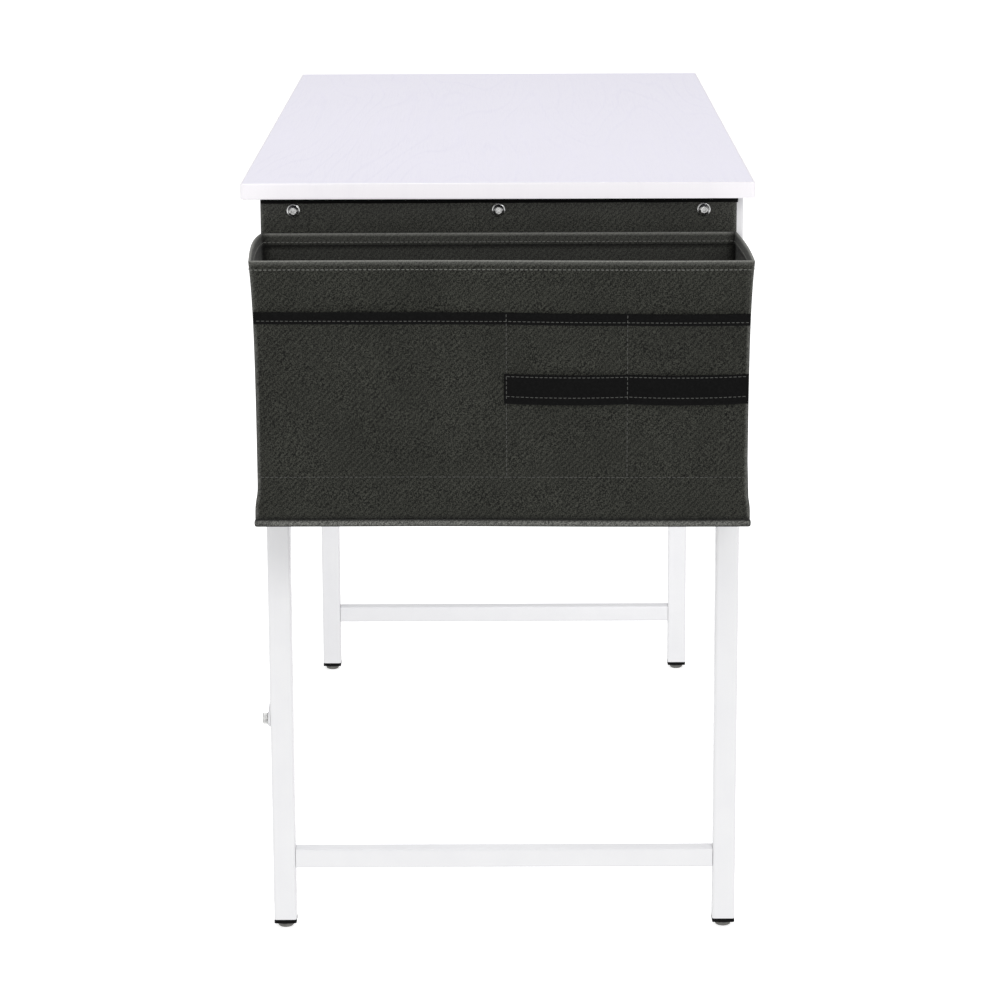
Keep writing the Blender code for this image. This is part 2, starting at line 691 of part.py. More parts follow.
def make_bag_body():
    """The bag's open-topped fabric shell."""
    wall_bottom = BAG_BOTTOM + BAG_EDGE_EASE
    rings = [(BAG_BOTTOM, BAG_EDGE_EASE)]
    for step in range(BAG_LEVELS + 1):
        rings.append((wall_bottom + (BAG_RIM - wall_bottom) * step / BAG_LEVELS, 0.0))
    bm = bmesh.new()
    loops = []
    for height, inset in rings:
        opening = max(0.0, (height - BAG_BOTTOM) / (BAG_RIM - BAG_BOTTOM) - 0.5) * 2
        swell = opening * opening
        outline = bag_outline(BAG_HALF_WIDTH, BAG_FLARE * swell, BAG_BOW * swell, inset)
        fall = (height - BAG_BOTTOM) / (BAG_RIM - BAG_BOTTOM) * BAG_RIM_SLOPE
        loops.append([bm.verts.new(bag_point(o, a, height - fall * o)) for o, a in outline])
    for lower, upper in zip(loops, loops[1:]):
        for index, corner in enumerate(lower):
            after = (index + 1) % len(lower)
            bm.faces.new((corner, lower[after], upper[after], upper[index]))
    bm.faces.new(list(reversed(loops[0])))
    body = object_from("bag_body", bm)
    shell = body.modifiers.new("wall", "SOLIDIFY")
    shell.thickness = BAG_WALL
    shell.offset = -1.0
    shell.use_even_offset = True
    place_on_hinge(finish(body, BAG_CLOTH))


def place_on_hinge(body):
    """Moves a body's origin onto the fold line that the bag swings about, leaving its shape in place."""
    hinge = Vector((FLAP_X, FRAME_Y, HINGE_HEIGHT))
    bpy.context.view_layer.update()
    body.data.transform(Matrix.Translation(-hinge) @ body.matrix_world)
    body.matrix_world = Matrix.Translation(hinge)


def make_bag_front():
    """The pocket panel sewn on the bag's front, its dark top binding and the elastic band."""
    panel_bottom = BAG_BOTTOM + BAG_EDGE_EASE
    panel_x = BAG_FRONT_X - GAP - POCKET_THICKNESS / 2
    band_x = panel_x - POCKET_THICKNESS / 2 - GAP - BAND_THICKNESS / 2
    panel_height = POCKET_TOP - panel_bottom
    panel = box(
        "pocket_panel",
        (POCKET_THICKNESS, 2 * POCKET_HALF_WIDTH, panel_height),
        (panel_x, FRAME_Y, panel_bottom + panel_height / 2),
    )
    finish(panel, BAG_CLOTH)
    binding = box(
        "pocket_binding",
        (BAND_THICKNESS, 2 * POCKET_HALF_WIDTH, UPPER_BAND_HEIGHT),
        (band_x, FRAME_Y, POCKET_TOP - UPPER_BAND_HEIGHT / 2),
    )
    finish(binding, BAND_CLOTH)
    band_width = POCKET_HALF_WIDTH - LOWER_BAND_START
    band_height = LOWER_BAND_TOP - LOWER_BAND_BOTTOM
    band_y = FRAME_Y - LOWER_BAND_START - band_width / 2
    band = box(
        "elastic_band",
        (BAND_THICKNESS, band_width, band_height),
        (band_x, band_y, LOWER_BAND_BOTTOM + band_height / 2),
    )
    finish(band, BAND_CLOTH)
    for piece in (panel, binding, band):
        place_on_hinge(piece)


def make_bag_piping():
    """A round piping around the bag's bottom edge, proud of its front and sides but not of its back."""
    share = (BAG_DEPTH - PIPING_RADIUS - PIPING_INSET) / (BAG_DEPTH - 2 * PIPING_INSET)
    outline = [
        (PIPING_RADIUS + (out - PIPING_INSET) * share, across)
        for out, across in bag_outline(BAG_HALF_WIDTH, 0.0, 0.0, PIPING_INSET)
    ]
    curve = bpy.data.curves.new("bag_piping", "CURVE")
    curve.dimensions = "3D"
    curve.bevel_depth = PIPING_RADIUS
    curve.bevel_resolution = 2
    spline = curve.splines.new("POLY")
    spline.points.add(len(outline) - 1)
    height = BAG_BOTTOM - GAP - PIPING_RADIUS
    for point, (out, across) in zip(spline.points, outline):
        point.co = (*bag_point(out, across, height), 1.0)
    spline.use_cyclic_u = True
    guide = bpy.data.objects.new("piping_route", curve)
    bpy.context.scene.collection.objects.link(guide)
    graph = bpy.context.evaluated_depsgraph_get()
    mesh = bpy.data.meshes.new_from_object(guide.evaluated_get(graph))
    bpy.data.objects.remove(guide, do_unlink=True)
    mesh.shade_smooth()
    piping = bpy.data.objects.new("bag_piping", mesh)
    place_on_hinge(finish(piping, PIPING_CLOTH))


def make_bottom_board():
    clearance = BAG_WALL + BOARD_CLEARANCE
    depth = BAG_DEPTH - 2 * clearance
    outline = rounded_rectangle(depth, 2 * (BAG_HALF_WIDTH - clearance), BAG_CORNER)
    board = extruded("bag_bottom_board", (outline,), BOTTOM_BOARD)
    height = BAG_BOTTOM + BAG_WALL + GAP + BOTTOM_BOARD / 2
    board.location = (BAG_BACK_X - BAG_DEPTH / 2, FRAME_Y, height)
    place_on_hinge(finish(board, BOARD))


def make_bag_flap():
    """The strip of cloth that three bolts clamp to the end rail. The bag hangs from its lower edge."""
    bottom = HINGE_HEIGHT + FLAP_HEM_GAP
    flap = box(
        "bag_flap",
        (FLAP_THICKNESS, 2 * FLAP_HALF_WIDTH, FLAP_TOP - bottom),
        (FLAP_X, BOLT_LINE_Y, (FLAP_TOP + bottom) / 2),
    )
    finish(flap, BAG_CLOTH)
    for offset in BOLT_SPOTS.values():
        hole = (FLAP_X, BOLT_LINE_Y + offset, BOLT_Z)
        drill(flap, BOLT_RADIUS + GAP, 4 * FLAP_THICKNESS, hole, "X")


def make_flap_tape():
    """The black tape sewn along the flap's top edge, above the bolts."""
    x = FLAP_X - FLAP_THICKNESS / 2 - GAP - BAND_THICKNESS / 2
    z = FLAP_TOP - FLAP_TAPE_HEIGHT / 2
    size = (BAND_THICKNESS, 2 * FLAP_HALF_WIDTH, FLAP_TAPE_HEIGHT)
    finish(box("flap_tape", size, (x, BOLT_LINE_Y, z)), BAND_CLOTH)


make_top_board()
make_edge_band()
make_legs()
make_end_rails()
make_foot_bars()
make_long_rails()
make_brace_bar("a")
make_brace_bar("b")
make_end_bolts()
make_middle_nut()
make_brace_bolts()
make_top_screws()
make_feet()
make_bag_flap()
make_flap_tape()
make_bag_body()
make_bag_front()
make_bag_piping()
make_bottom_board()
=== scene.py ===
"""Looks of the sewing table: its cloth bag, its thread, the finish of every piece, and a pale studio.

Metres, +Z up. X runs along the table and the bag hangs past its -X end. The user sits at -Y.
The cloth pieces are built around the frame's own boxes, in the frame's own places.
"""

import json
import math

import bmesh
import bpy
from mathutils import Matrix, Vector, noise


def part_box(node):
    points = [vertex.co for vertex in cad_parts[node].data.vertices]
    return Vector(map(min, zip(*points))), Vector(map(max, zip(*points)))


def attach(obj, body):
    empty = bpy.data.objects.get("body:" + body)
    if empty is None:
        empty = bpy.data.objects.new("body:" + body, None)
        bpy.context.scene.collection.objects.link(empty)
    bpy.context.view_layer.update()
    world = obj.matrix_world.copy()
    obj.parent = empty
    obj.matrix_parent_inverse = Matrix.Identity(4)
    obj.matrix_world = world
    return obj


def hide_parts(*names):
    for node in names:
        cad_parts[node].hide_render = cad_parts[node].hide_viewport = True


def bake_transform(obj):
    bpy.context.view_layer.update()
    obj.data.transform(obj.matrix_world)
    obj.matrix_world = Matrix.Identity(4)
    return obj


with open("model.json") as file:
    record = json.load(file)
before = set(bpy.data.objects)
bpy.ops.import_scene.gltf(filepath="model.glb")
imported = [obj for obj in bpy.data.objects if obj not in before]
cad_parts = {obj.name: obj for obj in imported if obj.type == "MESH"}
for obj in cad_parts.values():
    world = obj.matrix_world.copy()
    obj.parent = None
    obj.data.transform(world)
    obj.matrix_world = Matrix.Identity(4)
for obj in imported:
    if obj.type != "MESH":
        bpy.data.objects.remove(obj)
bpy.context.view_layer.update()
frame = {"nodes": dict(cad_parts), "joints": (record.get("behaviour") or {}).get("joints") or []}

# Camera, from the middle of the table's left end, looking along +X and down
CAMERA_DISTANCE = 3.1237
CAMERA_ASIDE = -0.0077
CAMERA_HEIGHT = 1.1607
CAMERA_PITCH = math.radians(13.006)
CAMERA_YAW = math.radians(-0.121)
CAMERA_ROLL = math.radians(-0.226)
CAMERA_LENS = 121.39
SENSOR = 36.0

# Studio
FLOOR_SIZE = 60.0
SKY_STRENGTH = 0.68
FLOOR_GLOW = 0.62

# Hardware
DISH_DEPTH = 0.0046  # how far a washer's face would fall across its whole width

# Cloth
WALL = 0.0014
HEM = 0.0026  # thickness of the wall and the hem folded inside it
HEM_DROP = 0.0112
HEM_STITCH_DROP = 0.0085
RIM_RISE = 0.0011
RIM_SLOPE = 0.0537  # fall of the rim for each metre away from the table
FRONT_SAG = 0.0014  # how much lower the bag's front hangs at the user's side
FOOT_FLARE = 0.0027  # how far the sides spread at the bottom
FOOT_FLARE_HEIGHT = 0.0215
BOTTOM_SAG = 0.0008
SIDE_SLACK = 0.0012  # how far the sides fall in half way down
MOUTH_FLARE = 0.0045  # how much wider the front corners stand at the mouth
# How far each side bows out at the mouth, and how near the front the bow is. 1 is the side towards
# the table's back and -1 is the user's side.
MOUTH_BOWS = {1: (0.0056, 0.6), -1: (0.0022, 0.95)}
BACK_SKEW = 0.0021  # the bag's back wall sits this far towards the table's back from its front
BACK_TAPER = 0.0022  # how much less the bag's half width is at its back
MOUTH_DECAY = 0.045  # drop below the rim over which the mouth's shape dies away
CORNER_RADIUS = 0.003
CORNER_RIDGE = 0.0004
BACK_GAP = 0.0017  # room behind the bag's back wall for the flap's tail
FRONT_SET_IN = 0.0012  # how far the front wall stands inside the bag's full depth
BELLY = 0.0016  # how far the front wall swells at its middle
BROAD_RIPPLE = 0.0011
FINE_RIPPLE = 0.0004
FLOOR_DROP = 0.0004  # how far the bag's floor hangs below its walls
FLOOR_SAG = 0.0012
INNER_FLOOR_SAG = 0.0006

# Pocket, elastic band and flap
PANEL = 0.0011
PANEL_END = 0.001  # how far below the pocket's top edge the panel ends, inside its binding
BINDING = 0.0008
BINDING_WIDEN = 0.0008  # how far the binding reaches below where it was cut
DIVIDERS = (-0.0075, -0.1178)  # y of the two rows of stitches that divide the pocket
POCKET_SEAM_HEIGHT = 0.4856
POCKET_MOUTH_SAG = 0.0018  # how much lower the pocket's mouth hangs at the user's side
BINDING_STITCH_RISE = 0.0023
BAND = 0.0013
BAND_STITCH_INSET = 0.0021
BAND_LOW_ROW = 0.0059  # height of the lower row of stitches above the band's cut edge
BAND_SLACK = 0.0030  # how far each loop of the band stands off the pocket
BAND_CLEAR = 0.0003  # and how far where it is sewn down
BAND_DROP = 0.0011  # how far the elastic's edges spread below and above its cut width
BAND_RISE = 0.0016
FLAP_TAIL = 0.0125  # how far the flap runs down behind the bag's back wall
FLAP_CLOTH = 0.0012
PUCKER = 0.0009  # depth of the folds round the bolts
PUCKER_REACH = 0.020
TAPE_WIDEN = 0.0007  # how far the flap's tape reaches below where it was cut
TAPE_END = 0.0011  # how far the tape's end sticks out at the user's side

# Piping
PIPING_TALL = 0.0068
PIPING_DROP = 0.0060  # how far the lip reaches below the bag's bottom edge
PIPING_DEEP = 0.0019
PIPING_PROUD = 0.0012  # how far the lip stands out at the front, and how far it is set in at the sides
PIPING_SHOWS_BEHIND = 0.0002

# Thread
STITCH = 0.0031
STITCH_PITCH = 0.0043
THREAD_RADIUS = 0.00038
ROW_END = 0.001  # how far from the cloth's edge a row of stitches ends

# Places taken from the frame
TOP_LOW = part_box("edge_band")[0]
SHELL_LOW, SHELL_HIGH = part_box("bag_body")
FLAP_LOW, FLAP_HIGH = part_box("bag_flap")
POCKET_LOW, POCKET_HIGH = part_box("pocket_panel")
BAND_LOW, BAND_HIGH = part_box("elastic_band")
BINDING_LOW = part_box("pocket_binding")[0]
PIPING_LOW, PIPING_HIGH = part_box("bag_piping")
BAG_CENTRE_Y = (SHELL_LOW.y + SHELL_HIGH.y) / 2
BAG_BACK_X = SHELL_HIGH.x
BAG_DEPTH = SHELL_HIGH.x - SHELL_LOW.x
BAG_BOTTOM = SHELL_LOW.z - BOTTOM_SAG
BAG_RIM = SHELL_HIGH.z + RIM_RISE
PIPING_TOP = BAG_BOTTOM + PIPING_TALL - PIPING_DROP
PIPING_PAST_WALL = 0.0009  # how much further than the walls the piping's box reaches at each side
BAG_HALF = (PIPING_HIGH.y - PIPING_LOW.y) / 2 - PIPING_PAST_WALL
FOLD_HEIGHT = next(j for j in frame["joints"] if j["name"] == "bag_swing")["pos_m"][2]


# Materials

def new_material(name, **values):
    """A Principled material. Values are socket names with underscores, such as Base_Color."""
    material = bpy.data.materials.new(name)
    material.use_nodes = True
    shader = shader_of(material)
    for socket, value in values.items():
        shader.inputs[socket.replace("_", " ")].default_value = value
    return material


def shader_of(material):
    return material.node_tree.nodes["Principled BSDF"]


def add(material, kind, inputs, **settings):
    """Adds a node; an input that is another node's socket is linked, and any other is set."""
    made = material.node_tree.nodes.new("ShaderNode" + kind)
    for setting, value in settings.items():
        setattr(made, setting, value)
    for socket, value in inputs.items():
        put(material, made.inputs[socket], value)
    return made


def put(material, socket, value):
    if isinstance(value, bpy.types.NodeSocket):
        material.node_tree.links.new(value, socket)
    else:
        socket.default_value = value


def place(material, stretch=(1, 1, 1), turn=(0, 0, 0)):
    """The surface's place on its object, stretched and turned."""
    where = add(material, "TexCoord", {}).outputs["Object"]
    mapping = {"Vector": where, "Scale": stretch, "Rotation": turn}
    return add(material, "Mapping", mapping).outputs["Vector"]


def noise_of(material, scale, detail=2.0, vector=None, roughness=0.5):
    inputs = {"Scale": scale, "Detail": detail, "Roughness": roughness}
    inputs["Vector"] = place(material) if vector is None else vector
    return add(material, "TexNoise", inputs).outputs["Fac"]


def ramp(material, factor, low, high, bottom=0.0, top=1.0):
    """Maps a factor between low and high to between bottom and top, held beyond them."""
    inputs = {"Value": factor, "From Min": low, "From Max": high, "To Min": bottom, "To Max": top}
    return add(material, "MapRange", inputs, clamp=True).outputs["Result"]


def calculate(material, operation, first, second=0.0):
    return add(material, "Math", {0: first, 1: second}, operation=operation).outputs["Value"]


def mixed(material, share, first, second):
    """A colour between two colours."""
    mix = add(material, "Mix", {0: share, 6: first, 7: second}, data_type="RGBA")
    return mix.outputs[2]


def colour(red, green, blue):
    return (red, green, blue, 1.0)


def give(material, **links):
    """Links sockets of the shader, such as Base_Color, to what has been worked out for them."""
    for socket, value in links.items():
        put(material, shader_of(material).inputs[socket.replace("_", " ")], value)
    return material


def bumped(material, height, distance, strength=1.0, under=None):
    inputs = {"Height": height, "Distance": distance, "Strength": strength}
    if under is not None:
        inputs["Normal"] = under
    return add(material, "Bump", inputs).outputs["Normal"]


def edges(material, radius):
    """One along the piece's edges and nought away from them."""
    soft = add(material, "Bevel", {"Radius": radius}, samples=4).outputs["Normal"]
    hard = add(material, "NewGeometry", {}).outputs["Normal"]
    dot = add(material, "VectorMath", {0: soft, 1: hard}, operation="DOT_PRODUCT")
    return ramp(material, dot.outputs["Value"], 0.99, 0.80)


def wood_grain_white(name, tint, shade, ribs):
    """White melamine foil pressed with a wood figure that runs along X: nested loops and fine pores."""
    material = new_material(name, Coat_Weight=0.0, Specular_IOR_Level=0.45)
    figure = noise_of(material, 1.0, 1.0, place(material, (1.3, 12.0, 1.0)), 0.4)
    nested = calculate(material, "PINGPONG", calculate(material, "MULTIPLY", figure, ribs), 1.0)
    lines = ramp(material, nested, 0.0, 0.30)
    pores = noise_of(material, 1.0, 2.0, place(material, (22.0, 620.0, 60.0)), 0.6)
    open_pores = ramp(material, pores, 0.30, 0.52)
    cloudy = noise_of(material, 5.0, 3.0)
    height = calculate(material, "MULTIPLY", calculate(material, "ADD", lines, open_pores), 0.5)
    base = mixed(material, ramp(material, height, 0.0, 1.0, 0.0, 1.0), shade, tint)
    base = mixed(material, ramp(material, cloudy, 0.40, 0.60, 0.0, 0.8), base, tint)
    base = mixed(material, edges(material, 0.0010), base, colour(0.90, 0.88, 0.90))
    roughness = ramp(material, height, 0.0, 1.0, 0.52, 0.36)
    normal = bumped(material, height, 0.00008, 0.7)
    return give(material, Base_Color=base, Roughness=roughness, Normal=normal)


def powder_coat(name):
    """White powder coat: fine orange peel, a slight unevenness of gloss, and greyer bare edges."""
    material = new_material(name, Specular_IOR_Level=0.5)
    peel = noise_of(material, 900.0, 2.0)
    patches = noise_of(material, 26.0, 4.0)
    dust = ramp(material, noise_of(material, 2200.0, 1.0), 0.68, 0.76)
    base = mixed(
        material, ramp(material, patches, 0.3, 0.7), colour(0.80, 0.80, 0.815), colour(0.83, 0.83, 0.84)
    )
    base = mixed(material, calculate(material, "MULTIPLY", dust, 0.12), base, colour(0.55, 0.55, 0.56))
    wear_and_painted_light = calculate(material, "MULTIPLY", edges(material, 0.0015), ramp(material, patches, 0.45, 0.6))
    base = mixed(material, calculate(material, "MULTIPLY", wear_and_painted_light, 0.25), base, colour(0.60, 0.60, 0.62))
    roughness = ramp(material, patches, 0.3, 0.7, 0.34, 0.46)
    return give(
        material, Base_Color=base, Roughness=roughness, Normal=bumped(material, peel, 0.00006, 0.5)
    )


def zinc_plate(name, dark, light, dished=False):
    """Bright zinc plate: cloudy, with fine tumbling scratches, and darker edges that are painted shade. A
    washer that is dished has a face that falls away all round from its middle."""
    material = new_material(name, Metallic=1.0)
    cloud = noise_of(material, 240.0, 4.0)
    scratch = noise_of(material, 1.0, 3.0, place(material, (900.0, 7000.0, 5200.0), (0.5, 0.4, 0.3)))
    base = mixed(material, ramp(material, cloud, 0.35, 0.7), dark, light)
    # Painted shade: the edges darkened towards near black.
    wear_and_painted_light = calculate(material, "MULTIPLY", edges(material, 0.0004), 0.4)
    base = mixed(material, wear_and_painted_light, base, colour(0.12, 0.12, 0.12))
    roughness = ramp(material, calculate(material, "ADD", cloud, scratch), 0.7, 1.3, 0.16, 0.36)
    normal = washer_dish(material) if dished else None
    normal = bumped(material, scratch, 0.00003, 0.5, normal)
    return give(material, Base_Color=base, Roughness=roughness, Normal=normal)


def washer_dish(material):
    """The slope of a dished washer, from the distance to the middle of its own box."""
    spot = add(material, "TexCoord", {}).outputs["Generated"]
    flat = add(material, "VectorMath", {0: spot, 1: (0.0, 1.0, 1.0)}, operation="MULTIPLY")
    aside = {0: flat.outputs["Vector"], 1: (0.0, 0.5, 0.5)}
    radius = add(material, "VectorMath", aside, operation="DISTANCE").outputs["Value"]
    return bumped(material, calculate(material, "MULTIPLY", radius, -1.0), DISH_DEPTH)


def moulded_plastic(name, dark, light, roughness, shine):
    """Moulded plastic with a fine spark-eroded grain and scuffed edges."""
    material = new_material(name, Specular_IOR_Level=shine)
    grain = noise_of(material, 2600.0, 2.0)
    scuff = noise_of(material, 160.0, 5.0)
    base = mixed(material, ramp(material, scuff, 0.35, 0.75), dark, light)
    rubbed_and_painted_light = calculate(material, "MULTIPLY", edges(material, 0.0006), 0.35)
    base = mixed(material, rubbed_and_painted_light, base, colour(*(min(1.0, 1.8 * part + 0.02) for part in light[:3])))
    gloss = ramp(material, scuff, 0.3, 0.7, roughness - 0.08, roughness + 0.10)
    return give(material, Base_Color=base, Roughness=gloss, Normal=bumped(material, grain, 0.00005, 0.6))


def heathered_cloth(name, dark, light, wear_and_painted_light_colour):
    """Woven polyester: two yarn directions that cross in a diagonal twill, flecked with lighter fibre.
    The yarns follow the object's own axes, so every wall of the bag shows them at the same size."""
    material = new_material(name, Sheen_Weight=0.12, Sheen_Roughness=0.5, Specular_IOR_Level=0.12)
    level_yarn = noise_of(material, 1.0, 1.0, place(material, (640.0, 640.0, 1900.0)), 0.6)
    upright_yarn = noise_of(material, 1.0, 1.0, place(material, (1900.0, 1900.0, 640.0)), 0.6)
    twill = add(
        material,
        "TexWave",
        {"Vector": place(material), "Scale": 105.0, "Distortion": 2.2, "Detail": 1.5, "Detail Scale": 3.0},
        bands_direction="DIAGONAL",
    ).outputs["Fac"]
    crossed = add(material, "Mix", {0: twill, 2: level_yarn, 3: upright_yarn}).outputs[0]
    fleck = noise_of(material, 1450.0, 0.0)
    tone = calculate(material, "ADD", crossed, calculate(material, "MULTIPLY", fleck, 0.9))
    tone = calculate(material, "ADD", tone, calculate(material, "MULTIPLY", twill, 0.10))
    base = mixed(material, ramp(material, tone, 0.905, 1.155), dark, light)
    cloudy = noise_of(material, 14.0, 3.0)
    base = mixed(material, ramp(material, cloudy, 0.35, 0.70, 0.0, 0.25), base, dark)
    # Lighter wherever the mesh's lightening layer says. This is partly wear and partly a painted highlight
    # along folds, with painted light inside the bag and at the flap's top.
    rubbed_and_painted_light = add(material, "Attribute", {}, attribute_name="wear_and_painted_light").outputs["Fac"]
    patchy = calculate(material, "MULTIPLY", rubbed_and_painted_light, ramp(material, tone, 0.70, 1.15, 0.55, 1.25))
    base = mixed(material, calculate(material, "MINIMUM", patchy, 1.0), base, wear_and_painted_light_colour)
    # Painted shade: near black wherever the mesh's shade layer says, under folds, in corners and above seams.
    painted_shade = add(material, "Attribute", {}, attribute_name="painted_shade").outputs["Fac"]
    base = mixed(material, painted_shade, base, colour(0.002, 0.002, 0.002))
    ribs = calculate(material, "ADD", twill, crossed)
    normal = bumped(material, ribs, 0.00018, 0.7)
    roughness = ramp(material, fleck, 0.3, 0.7, 0.88, 0.98)
    return give(material, Base_Color=base, Roughness=roughness, Normal=normal)


def ribbed_webbing(name, dark, light):
    """Black grosgrain tape: fine ribs across its length, with a slight lustre."""
    material = new_material(name, Sheen_Weight=0.02, Sheen_Roughness=0.4, Specular_IOR_Level=0.08)
    ribs = add(
        material,
        "TexWave",
        {"Vector": place(material), "Scale": 300.0, "Distortion": 0.6, "Detail": 1.0},
        bands_direction="Y",
    ).outputs["Fac"]
    lint = noise_of(material, 420.0, 3.0)
    base = mixed(material, ramp(material, lint, 0.40, 0.80), dark, light)
    # Lighter wherever the mesh's lightening layer says, partly wear and partly a painted highlight.
    wear_and_painted_light = add(material, "Attribute", {}, attribute_name="wear_and_painted_light").outputs["Fac"]
    base = mixed(material, calculate(material, "MULTIPLY", wear_and_painted_light, 0.3), base, light)
    height = calculate(material, "ADD", ribs, lint)
    roughness = ramp(material, lint, 0.3, 0.7, 0.72, 0.9)
    return give(
        material, Base_Color=base, Roughness=roughness, Normal=bumped(material, height, 0.00012, 0.7)
    )


def spun_thread(name, dark, light):
    """Polyester thread with a twist along it."""
    material = new_material(name, Sheen_Weight=0.1, Specular_IOR_Level=0.2)
    twist = noise_of(material, 3200.0, 1.0)
    base = mixed(material, ramp(material, twist, 0.3, 0.7), dark, light)
    return give(
        material,
        Base_Color=base,
        Roughness=ramp(material, twist, 0.3, 0.7, 0.6, 0.85),
        Normal=bumped(material, twist, 0.0001, 0.8),
    )


def grey_board():
    """Pressed board with fibres, inside the bag's bottom."""
    material = new_material("grey_fibre_board", Specular_IOR_Level=0.2)
    fibre = noise_of(material, 1.0, 4.0, place(material, (260.0, 900.0, 400.0), (0.0, 0.0, 0.6)), 0.6)
    blotch = noise_of(material, 35.0, 4.0)
    dark = colour(0.16, 0.15, 0.14)
    light = colour(0.27, 0.26, 0.24)
    base = mixed(material, ramp(material, fibre, 0.35, 0.7), dark, light)
    base = mixed(material, ramp(material, blotch, 0.45, 0.7, 0.0, 0.4), base, colour(0.15, 0.14, 0.13))
    rubbed_and_painted_light = calculate(material, "MULTIPLY", edges(material, 0.0015), 0.4)
    base = mixed(material, rubbed_and_painted_light, base, colour(0.36, 0.35, 0.33))
    roughness = ramp(material, fibre, 0.3, 0.7, 0.78, 0.95)
    return give(material, Base_Color=base, Roughness=roughness, Normal=bumped(material, fibre, 0.0001, 0.7))


TOP_FOIL = wood_grain_white("wood_grain_foil", colour(0.82, 0.80, 0.90), colour(0.775, 0.757, 0.86), 26.0)
BAND_FOIL = wood_grain_white("edge_band_foil", colour(0.94, 0.915, 0.95), colour(0.92, 0.895, 0.935), 9.0)
COAT = powder_coat("powder_coat")
ZINC = zinc_plate("zinc_plate", colour(0.26, 0.26, 0.26), colour(0.62, 0.62, 0.61))
WASHER_ZINC = zinc_plate("washer_zinc", colour(0.55, 0.55, 0.55), colour(0.85, 0.85, 0.84), True)
BLACK = moulded_plastic("black_moulding", colour(0.002, 0.002, 0.002), colour(0.004, 0.004, 0.004), 0.5, 0.07)
GREY = moulded_plastic("grey_moulding", colour(0.13, 0.128, 0.12), colour(0.22, 0.217, 0.205), 0.5, 0.2)
CLOTH = heathered_cloth(
    "charcoal_twill", colour(0.004, 0.0042, 0.0035), colour(0.056, 0.0575, 0.048), colour(0.21, 0.21, 0.195)
)
PIPING_CLOTH = heathered_cloth(
    "grey_twill", colour(0.055, 0.056, 0.052), colour(0.24, 0.24, 0.22), colour(0.30, 0.30, 0.28)
)
TAPE = ribbed_webbing("black_tape", colour(0.0020, 0.0020, 0.0020), colour(0.007, 0.007, 0.007))
THREAD = spun_thread("grey_thread", colour(0.11, 0.11, 0.10), colour(0.24, 0.24, 0.225))
DARK_THREAD = spun_thread("dark_thread", colour(0.045, 0.045, 0.042), colour(0.10, 0.10, 0.095))
CARD = grey_board()

FINISHES = {
    "top_board": TOP_FOIL,
    "edge_band": BAND_FOIL,
    "leg_plug": BLACK,
    "levelling_foot": GREY,
    "leg_": COAT,
    "foot_bar": COAT,
    "end_rail": COAT,
    "long_rail": COAT,
    "brace_bar": COAT,
    "bag_bottom_board": CARD,
    "bag_washer": WASHER_ZINC,
}


def finish_nodes():
    """Gives each CAD node that stays in sight its finish; whatever isn't listed is plated hardware."""
    for name, node in frame["nodes"].items():
        kind = next((start for start in FINISHES if name.startswith(start)), None)
        node.data.materials.clear()
        node.data.materials.append(FINISHES[kind] if kind else ZINC)


# Mesh helpers

class Piece:
    """Collects the points and faces of one piece."""

    def __init__(self):
        self.points = []
        self.faces = []

    def sweep(self, rings, closed=False):
        """Joins closed rings of points in order, then caps the ends or joins the last to the first."""
        start = len(self.points)
        count = len(rings[0])
        for ring in rings:
            self.points.extend(ring)
        joins = len(rings) if closed else len(rings) - 1
        for row in range(joins):
            near = start + row * count
            far = start + (row + 1) % len(rings) * count
            for step in range(count):
                after = (step + 1) % count
                self.faces.append((near + step, near + after, far + after, far + step))
        if not closed:
            last = start + (len(rings) - 1) * count
            self.faces.append(tuple(range(start + count - 1, start - 1, -1)))
            self.faces.append(tuple(range(last, last + count)))

    def make(self, name, material, wear_and_painted_light=None, painted_shade=None):
        """The finished object. Its two painted layers give each point, from 0 to 1, how much lighter it is
        from wear and painted light, and how much darker it is from painted shade.
        """
        mesh = bpy.data.meshes.new(name)
        mesh.from_pydata([tuple(point) for point in self.points], [], self.faces)
        bm = bmesh.new()
        bm.from_mesh(mesh)
        bmesh.ops.recalc_face_normals(bm, faces=bm.faces)
        bm.to_mesh(mesh)
        bm.free()
        mesh.shade_smooth()
        for layer, amount in (("wear_and_painted_light", wear_and_painted_light), ("painted_shade", painted_shade)):
            painted = mesh.attributes.new(layer, "FLOAT", "POINT")
            for vertex, value in zip(mesh.vertices, painted.data):
                value.value = max(0.0, min(1.0, amount(vertex.co))) if amount else 0.0
        mesh.materials.append(material)
        made = bpy.data.objects.new(name, mesh)
        bpy.context.scene.collection.objects.link(made)
        return made


def spread(first, last, count):
    return [first + (last - first) * step / (count - 1) for step in range(count)]


def bell(distance, width):
    return math.exp(-((distance / width) ** 2))


def arc(centre, radius, start, end, count):
    """Points of an arc in a plane, angles in degrees."""
    turns = [math.radians(angle) for angle in spread(start, end, count)]
    return [(centre[0] + radius * math.cos(a), centre[1] + radius * math.sin(a)) for a in turns]


def strip_section(thickness, low, high, steps=8):
    """Section of a strip of cloth as (proud, height): a flat loop with round edges."""
    radius = thickness / 2
    heights = spread(low + radius, high - radius, steps)
    section = [(thickness, height) for height in heights]
    section += arc((radius, high - radius), radius, 0, 180, 5)[1:-1]
    section += [(0.0, height) for height in reversed(heights)]
    section += arc((radius, low + radius), radius, 180, 360, 5)[1:-1]
    return section


# Bag shell. Out is the distance from the table's end, and across runs from the bag's middle towards
# the table's back.

def leaning(across):
    """Nought on the table's back half of the bag, rising smoothly to one near the user's side."""
    share = max(0.0, min(1.0, (0.10 - across) / 0.27))
    return share * share * (3.0 - 2.0 * share)


def front_sag(out, across):
    return FRONT_SAG * leaning(across) * max(0.0, out) / BAG_DEPTH


